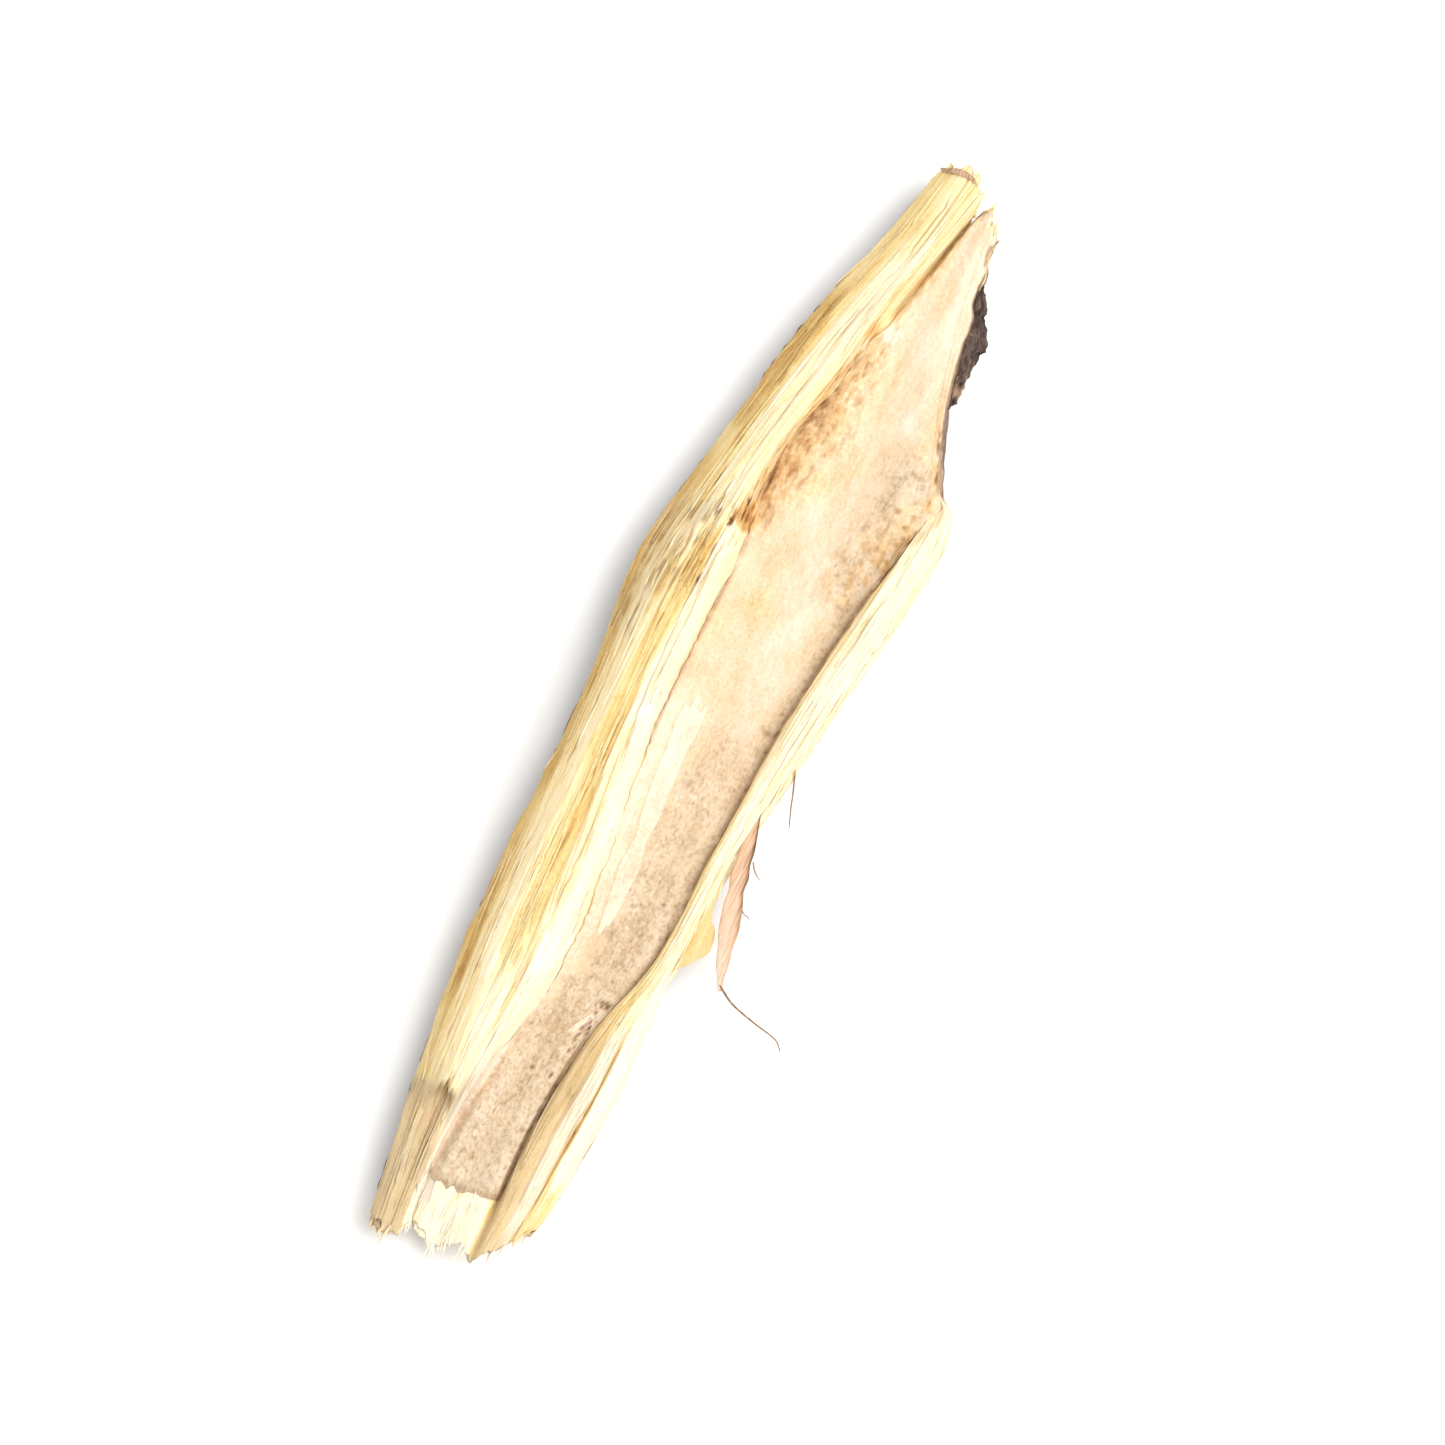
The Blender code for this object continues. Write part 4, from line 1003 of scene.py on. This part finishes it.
def cork_bark():
    """Dry root bark: thin, brittle cork, grey-brown and quite dull. The eye gets long pale ridges with dark
    furrows between them, a crust of fine grains, and a pinkish edge where the inner bark is torn."""
    made, tree, marks = new_material("cork_bark", ("tone", "inner"))
    level, (_, crust, specks) = mottled(tree, marks["tone"], [
        (1.2, 2.4, 5.0, 0.9), (0.1, 0.22, 4.0, 1.1), (0.35, 0.3, 4.0, 0.0)])
    base = add(tree, "ShaderNodeValToRGB", {"Fac": level}, [
        (0.0, "#2E2522"), (0.3, "#4F413A"), (0.6, "#77645A"), (0.85, "#A08A78"), (1.0, "#BDA992")])
    pale_specks = add(tree, "ShaderNodeMapRange", {
        "Value": specks, "From Min": 0.64, "From Max": 0.74, "To Min": 0.0, "To Max": 0.6})
    inner = add(tree, "ShaderNodeValToRGB", {"Fac": level}, [
        (0.0, "#8A644A"), (0.5, "#C09A78"), (1.0, "#E2C6A6")])
    for share, over in ((pale_specks, colour("#B79E84")), (marks["inner"], inner)):
        base = add(tree, "ShaderNodeMix", {"Factor_Float": share, "A_Color": base, "B_Color": over},
                   data_type="RGBA")
    bump = add(tree, "ShaderNodeBump", {"Strength": 0.8, "Distance": 0.05 * MM, "Height": crust})
    shader = add(tree, "ShaderNodeBsdfPrincipled", {
        "Base Color": base, "Roughness": 0.88, "IOR": 1.45, "Specular IOR Level": 0.2, "Normal": bump})
    add(tree, "ShaderNodeOutputMaterial", {"Surface": shader})
    return made


bark_finish = cork_bark()
face = np.linspace(0, 1, BARK_OUTSIDE, endpoint=False)
(a, b, s), faces = closed_surface(loop_round(face, BARK_SIDE, BARK_INSIDE), BARK_ALONG, BARK_RINGS)
p, q = 1 - a, 1 - b             # the outside is the surface's face here, and is at q = 0
u, _ = bark_place(p, np.full_like(p, MIDDLE))
lower_tear = 0.25 * noise(p * 14, p * 0, SEED + 108) + 0.12 * noise(p * 45, p * 0, SEED + 109)
upper_tear = 0.25 * noise(p * 13, p * 0, SEED + 110) + 0.12 * noise(p * 43, p * 0, SEED + 111)
lower = line(LOWER_END, u) + BARK_LOWER_SHORT + lower_tear
upper = line(UPPER_END, u) - BARK_UPPER_SHORT + upper_tear
x = between(lower, upper, s)
turn = bark_line(np.minimum(p + 0.004, 1), x) - bark_line(np.maximum(p - 0.004, 0), x)
outward = np.stack([np.zeros_like(x), -turn[:, 2], turn[:, 1]], axis=1)
outward /= np.linalg.norm(outward, axis=1)[:, None]
edge = rise(np.minimum(p, 1 - p), 0, 0.012) * rise(np.minimum(s, 1 - s), 0, 0.006)
wrinkles = bark_relief(p, x)
flare = 0.05 * noise(x / 0.22, p * 9, SEED + 112) * within(x, 22.2, 24.6, 0.3) * rise(p, 0.93, 0.97)
sunk = rise(p, 0.86, 0.92) * (1 - rise(x, 21.8, 22.4))
lift = 0.05 * (1 - 1.8 * sunk) + wrinkles * (1 - 0.7 * sunk) + flare
bark_points = bark_line(p, x) + outward * (lift * edge * (1 - q) - BARK_THICK * q)[:, None]
bark_points[:, 2] = np.maximum(bark_points[:, 2], 0)
at_face = within(x, *BARK_REACHES_FACE, 0.3)
bark = make_piece(
    "root_bark", bark_points, faces, bark_finish,
    grain=np.stack([x, p * BACK_WIDTH, q * 0.2], axis=1),
    tone=BARK_TONE + 3.2 * wrinkles + 0.2 * at_face * rise(p, 0.93, 0.99),
    inner=np.clip((1 - edge + rise(q, 0.2, 0.6)) * (1 - 0.6 * at_face), 0, 1))
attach(bark, "root")
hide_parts("root_chip")


# The flake of dark bark at the upper right edge.
# The outer cork split away from the edge here and stands out from it as a thick, rough, almost black flake.

# Its edge at the wood and its free edge, seen from above: place along, place across
FLAKE_INNER = [(24.3, -2.0), (25.0, -1.85), (25.6, -1.6), (26.6, -1.4), (27.45, -1.5)]
FLAKE_OUTER = [(24.3, -2.14), (24.6, -2.2), (25.1, -2.22), (25.7, -2.32), (26.2, -2.3), (26.8, -1.98),
               (27.3, -1.7), (27.45, -1.62)]
FLAKE_HEIGHT, FLAKE_THICK = 1.62, 0.34
# Points of its mesh: across the top, down a side, across the underside, along, and over an end
FLAKE_FACE, FLAKE_SIDE, FLAKE_BACK, FLAKE_ALONG, FLAKE_RINGS = 30, 5, 14, 120, 3

face = np.linspace(0, 1, FLAKE_FACE, endpoint=False)
(a, b, c), faces = closed_surface(loop_round(face, FLAKE_SIDE, FLAKE_BACK), FLAKE_ALONG, FLAKE_RINGS)
low, high = FLAKE_INNER[0][0], FLAKE_INNER[-1][0]
x = between(low, high, c) + 0.07 * noise(a * 5, b * 3, SEED + 120)
inner_line, outer_line = line(FLAKE_INNER, x), line(FLAKE_OUTER, x)
rough = (0.06 * noise(x / 0.3, a * 4, SEED + 121, 0.4, 0.4) + 0.035 * noise(x / 0.11, a * 8, SEED + 122)
         + 0.02 * noise(x / 0.05, a * 16, SEED + 123))
y = between(inner_line, outer_line, a) - rough * a
slim = np.sqrt(np.clip(1 - (2 * c - 1) ** 4, 0.04, 1)) * (1 - 0.5 * a ** 3)
z = FLAKE_HEIGHT + FLAKE_THICK * (b - 0.5) * slim + rough * rise(a, 0.1, 0.5) - 0.1 * (1 - a)
flake = make_piece(
    "bark_flake", np.stack([x, y, z], axis=1), faces, bark_finish,
    grain=np.stack([x, a * 1.2, b * 0.4], axis=1),
    tone=0.31 + 2.6 * rough + 0.3 * near(x, 24.8, 0.3),
    inner=0.6 * spot(a, x, 0.7, 0.5, 24.75, 0.25))
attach(flake, "root")
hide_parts("root_chip")


# Torn fibres and splinters.
# Bundles of wood fibre that the tearing left loose: short stiff ones at both ends, fine ones along the edges,
# and flat splinters that lie on the face. Each is held at its root, and its other end is free.

END_FIBRES, EDGE_FIBRES = 90, 150
# Splinters: how many, between which places in the width, from and to along, longest, widest, highest lift
SPLINTERS = [
    (95, 0.02, 0.30, 3.8, 29.2, 4.5, 0.045, 0.05),
    (40, 0.28, 0.42, 3.9, 29.0, 3.5, 0.045, 0.04),
    (70, 0.335, 0.47, 19.8, 25.4, 1.3, 0.03, 0.08),
    (80, 0.765, 0.985, 7.0, 21.3, 4.0, 0.04, 0.05),
    (34, 0.76, 0.98, 1.0, 7.0, 2.5, 0.035, 0.04),
    (40, 0.07, 0.28, 17.3, 20.2, 1.1, 0.05, 0.12),
    (22, 0.02, 0.28, 0.4, 3.4, 1.6, 0.035, 0.05),
    (26, 0.3, 0.7, -0.1, 1.6, 0.9, 0.04, 0.06),
]
FIBRE_STEPS, FIBRE_SIDES = 12, 6        # points along each of them, and round it


def strands(paths, wide, thick, sides):
    """Thin strips as one mesh: one along each path of points, with its half width and half thickness."""
    along = np.gradient(paths, axis=1)
    side = np.cross(along, (0, 0, 1.0))
    side /= np.linalg.norm(side, axis=2)[..., None]
    up = np.cross(side, along)
    up /= np.linalg.norm(up, axis=2)[..., None]
    turn = np.arange(sides) * 2 * np.pi / sides
    ring = (side[:, :, None] * (wide[..., None] * np.cos(turn))[..., None]
            - up[:, :, None] * (thick[..., None] * np.sin(turn))[..., None])
    count, steps = paths.shape[:2]
    faces = [[k * steps * sides + corner for corner in one]
             for k in range(count) for one in loop_faces(steps, sides)]
    return (paths[:, :, None] + ring).reshape(-1, 3), faces


def chip_point(u, v, x):
    """The point of the chip's plain surface at its places across and through and a place along."""
    y = place_across(u, v, x)
    back = back_height(u, x, y) + BARK_THICK
    return np.stack([x, y, back + v * (face_height(u, x, y) - back)], axis=-1)


random = np.random.default_rng(SEED + 130)
t = np.linspace(0, 1, FIBRE_STEPS)

# Short stiff ones, every other one at the upper end
upper = np.arange(END_FIBRES) % 2
end_u, end_v = random.uniform(0.02, 0.98, END_FIBRES), random.uniform(0.2, 0.98, END_FIBRES)
roots = chip_point(end_u, end_v, place_along(end_u, end_v, upper))
aside, upwards = random.normal(0, 0.2, END_FIBRES), random.normal(0, 0.15, END_FIBRES)
ways = np.stack([2.0 * upper - 1, aside, upwards], axis=1)
lengths = random.uniform(0.12, 0.5, END_FIBRES)[:, None, None]
end_paths = roots[:, None] + ways[:, None] * lengths * (1.3 * t[:, None] - 0.5)
end_paths[..., 2] += random.normal(0.02, 0.06, END_FIBRES)[:, None] * t ** 2
end_wide = random.uniform(0.012, 0.05, END_FIBRES)[:, None] * (1.02 - t ** 3)

# Fine ones, three in five along the right edge and the others along the left
right = np.arange(EDGE_FIBRES) % 5 < 3
edge_u = np.where(right, random.uniform(0.95, 1.0, EDGE_FIBRES), random.uniform(0.0, 0.03, EDGE_FIBRES))
edge_x = np.where(right, random.uniform(7, 21.6, EDGE_FIBRES), random.uniform(1, 28, EDGE_FIBRES))
edge_v = random.uniform(0.45, 0.95, EDGE_FIBRES)[:, None] * np.ones_like(t)
edge_reach = random.choice([-1, 1], EDGE_FIBRES) * random.uniform(0.5, 2.4, EDGE_FIBRES)
edge_x = edge_x[:, None] + edge_reach[:, None] * t
spread = random.uniform(0.02, 0.16, EDGE_FIBRES)[:, None] * t ** 1.5
edge_u = edge_u[:, None] * np.ones_like(t)
edge_paths = chip_point(edge_u.ravel(), edge_v.ravel(), edge_x.ravel()).reshape(EDGE_FIBRES, len(t), 3)
edge_paths[..., 1] -= np.where(edge_u > 0.5, 1, -1) * (spread - 0.02)
edge_paths[..., 2] += spread * random.uniform(-0.2, 0.5, EDGE_FIBRES)[:, None]
edge_wide = random.uniform(0.01, 0.028, EDGE_FIBRES)[:, None] * (1.02 - t ** 3)

# Flat splinters on the face
drawn = []
for count, low, high, first, last, longest, widest, lift in SPLINTERS:
    start = random.uniform(first, last, count)
    reach = random.choice([-1, 1], count) * longest * random.uniform(0.2, 1, count)
    finish = np.clip(start + reach, first - 0.3, last + 0.3)
    middle = random.uniform(low, high, count)
    half_width = widest * random.uniform(0.35, 1, count)
    lifted = lift * random.uniform(0, 1, count) ** 2
    paler = random.uniform(-0.1, 0.1, count)
    drawn.append(np.stack([middle, start, finish, half_width, lifted, paler], axis=1))
flat_u, start, finish, widest, lift, flat_tone = np.concatenate(drawn).T[..., None]
flat_x = start + (finish - start) * t
flat_u = flat_u + 0.006 * np.sin(2 * t + 40 * flat_u)
flat_wide = widest * np.minimum(1, 0.25 + 4 * t) * (1.02 - t ** 4)
flat_paths = on_face(flat_u.ravel(), flat_x.ravel(), 0.012).reshape(len(flat_u), len(t), 3)
flat_paths[:, 1:-1, 2] = (flat_paths[:, :-2, 2] + flat_paths[:, 1:-1, 2] + flat_paths[:, 2:, 2]) / 3
flat_paths[..., 2] += lift * t ** 3

paths = np.concatenate([end_paths, edge_paths, flat_paths])
wide = np.concatenate([end_wide, edge_wide, flat_wide])
thick = np.concatenate([0.7 * end_wide, 0.7 * edge_wide, 0.3 * flat_wide + 0.006])
fibre_points, faces = strands(paths, wide, thick, FIBRE_SIDES)
place_u = np.concatenate([end_u[:, None] * np.ones_like(t), edge_u, flat_u])
place_u = np.repeat(place_u.ravel(), FIBRE_SIDES)
place_x = np.repeat(paths[..., 0].ravel(), FIBRE_SIDES)
offset = np.concatenate([random.uniform(-0.1, 0.2, END_FIBRES + EDGE_FIBRES)[:, None], flat_tone])
offset = np.repeat((offset * np.ones_like(t)).ravel(), FIBRE_SIDES)
marks = wood_marks(place_u, np.ones_like(place_u), place_x)
marks["tone"] = marks["tone"] + offset
marks["dark"] = 0.3 * marks["dark"]
fibres = make_piece("torn_fibres", fibre_points, faces, wood_finish, **marks)
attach(fibres, "root")
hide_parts("root_chip")


# The peeled strip of inner bark.
# A thin pinkish strip of inner bark came loose at the lower right edge, curled as it dried, and ends in one
# long hair. A short orange flake of wood stands out beside it, and a rim is curled over the upper end.

# The strip: points along it, and its half width at even places between them
STRIP_PATH = [(13.4, -2.05, 1.8), (12.4, -2.24, 1.84), (11.3, -2.42, 1.84), (10.1, -2.72, 1.78),
              (9.2, -2.96, 1.68), (8.6, -3.16, 1.6)]
STRIP_WIDE = [0.08, 0.16, 0.22, 0.25, 0.14, 0.06]
# Its hair and three short ones beside it, and the half width of each
HAIR_PATHS = [
    [(8.75, -3.1, 1.63), (8.45, -3.6, 1.57), (8.25, -4.3, 1.5), (8.1, -4.95, 1.47), (7.88, -5.2, 1.5)],
    [(14.6, -2.45, 1.6), (14.0, -2.68, 1.6), (13.5, -2.84, 1.58), (13.2, -2.95, 1.56), (13.05, -3.0, 1.5)],
    [(11.9, -2.55, 1.82), (11.75, -2.65, 1.84), (11.65, -2.75, 1.85), (11.6, -2.83, 1.84),
     (11.56, -2.9, 1.8)],
    [(10.8, -2.7, 1.8), (10.7, -2.8, 1.8), (10.62, -2.9, 1.8), (10.6, -3.0, 1.78), (10.55, -3.08, 1.76)],
]
HAIR_WIDE = (0.03, 0.022, 0.02, 0.02)
HAIR_TONE = 0.2
# The rim: from how far up the left side, to where in the width, the share of it that is up the side, and
# its half width
RIM_FROM, RIM_TO, RIM_UP_SIDE, RIM_WIDE = 0.5, 0.3, 0.3, 0.07
# The orange flake: points along it, and its half width at even places between them
EDGE_FLAKE = [(10.9, -1.9, 1.5), (10.1, -2.05, 1.55), (9.5, -2.2, 1.52), (8.5, -1.85, 1.45)]
EDGE_FLAKE_WIDE = [0.06, 0.2, 0.33, 0.05]
PEEL_STEPS, PEEL_SIDES = 60, 12         # points along each of them, and round it


def through(points, count):
    """A smooth path of so many points through a few."""
    knots = np.arange(len(points), dtype=float)
    places = np.linspace(0, len(points) - 1, count)
    return np.stack([line(list(zip(knots, column)), places) for column in np.array(points).T], axis=1)


def widths(values, steps):
    """Half widths given at even places along a strip, read at each step from 0 to 1."""
    return np.interp(steps, np.linspace(0, 1, len(values)), values)


def inner_bark():
    """Dried inner bark: a thin leathery skin, dull and pinkish tan. The eye gets fine lines along it and
    browner edges."""
    made, tree, marks = new_material("inner_bark", ("tone",))
    level, (lines,) = mottled(tree, marks["tone"], [(0.08, 0.8, 4.0, 1.0)])
    base = add(tree, "ShaderNodeValToRGB", {"Fac": level}, [
        (0.0, "#5F4A38"), (0.3, "#A07C5E"), (0.6, "#D9B497"), (1.0, "#F2DDCB")])
    bump = add(tree, "ShaderNodeBump", {"Strength": 0.5, "Distance": 0.03 * MM, "Height": lines})
    shader = add(tree, "ShaderNodeBsdfPrincipled", {
        "Base Color": base, "Roughness": 0.8, "IOR": 1.45, "Specular IOR Level": 0.2, "Normal": bump})
    add(tree, "ShaderNodeOutputMaterial", {"Surface": shader})
    return made


steps = np.linspace(0, 1, PEEL_STEPS)
uneven = 1 + 0.14 * noise(16 * steps, 0 * steps, SEED + 140)
strip_wide = widths(STRIP_WIDE, steps) * uneven
rim_wide = RIM_WIDE * (1.05 - (2 * steps - 1) ** 2) * uneven
rim_u = RIM_TO * np.clip((steps - RIM_UP_SIDE) / (1 - RIM_UP_SIDE), 0, 1)
rim_v = RIM_FROM + (1 - RIM_FROM) * np.clip(steps / RIM_UP_SIDE, 0, 1)
rim_path = chip_point(rim_u, rim_v, line(UPPER_END, rim_u) - 0.05)
hair_paths = [through(path, PEEL_STEPS) for path in HAIR_PATHS]
hair_wide = [wide * (1.1 - 0.6 * steps) for wide in HAIR_WIDE]
peel_paths = np.stack([through(STRIP_PATH, PEEL_STEPS), rim_path] + hair_paths)
peel_wide = np.stack([strip_wide, rim_wide] + hair_wide)
peel_thick = np.stack([0.3 * strip_wide + 0.01, 0.8 * rim_wide] + [0.8 * wide for wide in hair_wide])
peel_points, faces = strands(peel_paths, peel_wide, peel_thick, PEEL_SIDES)

turn = np.cos(np.arange(PEEL_SIDES) * 2 * np.pi / PEEL_SIDES)      # from 1 at one edge to -1 at the other
shade = 1 - rise(steps[:, None], 0.3, 0.75)
strip_tone = 0.66 - 0.5 * rise(-turn, 0.3, 0.9) * (0.35 + 0.65 * shade)
strip_tone = strip_tone + 0.14 * rise(turn, 0, 1) - 0.12 * shade
rim_tone = 0.42 + 0.1 * turn + 0 * shade
hair_tone = np.full((len(HAIR_PATHS), PEEL_STEPS, PEEL_SIDES), HAIR_TONE)
peel_tone = np.concatenate([strip_tone[None], rim_tone[None], hair_tone])
peel = make_piece("peeled_strip", peel_points, faces, inner_bark(), grain=peel_points * (1, 1.5, 1),
                  tone=peel_tone)
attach(peel, "root")
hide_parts("root_chip")

edge_path = through(EDGE_FLAKE, PEEL_STEPS)
edge_wide = widths(EDGE_FLAKE_WIDE, steps) * (1 + 0.25 * noise(14 * steps, 0 * steps, SEED + 141))
edge_thick = 0.3 * edge_wide + 0.02
edge_points, faces = strands(edge_path[None], edge_wide[None], edge_thick[None], PEEL_SIDES)
nothing = np.zeros(len(edge_points))
edge_flake = make_piece("edge_flake", edge_points, faces, wood_finish, grain=edge_points * (1, 1.5, 1),
                        tone=nothing + 0.62, dark=nothing, warm=nothing + 0.8, rose=nothing, dull=nothing)
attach(edge_flake, "root")
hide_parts("root_chip")


# The floor, the light and the camera.
# A plain pale table under a soft light from the right and a pale sky, seen from straight above with the chip
# leaning to the right.

LEAN = 25.3                             # degrees
CAMERA_HEIGHT, VIEW_SIZE = 0.4, 0.0365  # in m, and the view is square
SENSOR = 36                             # mm
CHIP_CENTRE = (0.05, -0.75)             # of the whole outline in this view, in mm
LIGHT_PLACE = (0.28, 0.1, 0.52)         # to the right, up the picture and up from the table, in m
LIGHT_SIZE, LIGHT_POWER, SKY_LIGHT = 0.5, 3.8, 0.82

bpy.ops.mesh.primitive_plane_add(size=3, location=(0, 0, 0))
floor = bpy.context.object
floor.name = "floor"
paper, tree, _ = new_material("white_paper", ())
sheet = add(tree, "ShaderNodeBsdfPrincipled", {"Base Color": colour("#F7F6F4"), "Roughness": 0.9})
add(tree, "ShaderNodeOutputMaterial", {"Surface": sheet})
floor.data.materials.append(paper)

lean = np.radians(LEAN)
right_way = np.array([np.sin(lean), -np.cos(lean), 0])
up_way = np.array([np.cos(lean), np.sin(lean), 0])
back_way = np.array([0.0, 0, 1])

lens = bpy.data.cameras.new("camera")
lens.sensor_width = SENSOR
lens.lens = SENSOR * CAMERA_HEIGHT / VIEW_SIZE
lens.clip_start = 0.01
camera = bpy.data.objects.new("camera", lens)
bpy.context.scene.collection.objects.link(camera)
camera.rotation_euler = Matrix((right_way, up_way, back_way)).transposed().to_euler()
camera.location = (CHIP_CENTRE[0] * MM, CHIP_CENTRE[1] * MM, CAMERA_HEIGHT)
bpy.context.scene.camera = camera

softbox = bpy.data.lights.new("softbox", "AREA")
softbox.shape = "SQUARE"
softbox.size = LIGHT_SIZE
softbox.energy = LIGHT_POWER
key = bpy.data.objects.new("softbox", softbox)
bpy.context.scene.collection.objects.link(key)
key_place = LIGHT_PLACE[0] * right_way + LIGHT_PLACE[1] * up_way + LIGHT_PLACE[2] * back_way
key.location = key_place
key.rotation_euler = Vector(key_place).to_track_quat("Z", "Y").to_euler()

world = bpy.data.worlds.new("pale_room")
world.use_nodes = True
sky = world.node_tree.nodes["Background"]
sky.inputs["Color"].default_value = (1, 1, 1, 1)
sky.inputs["Strength"].default_value = SKY_LIGHT
bpy.context.scene.world = world
bpy.context.scene.view_settings.view_transform = "Standard"
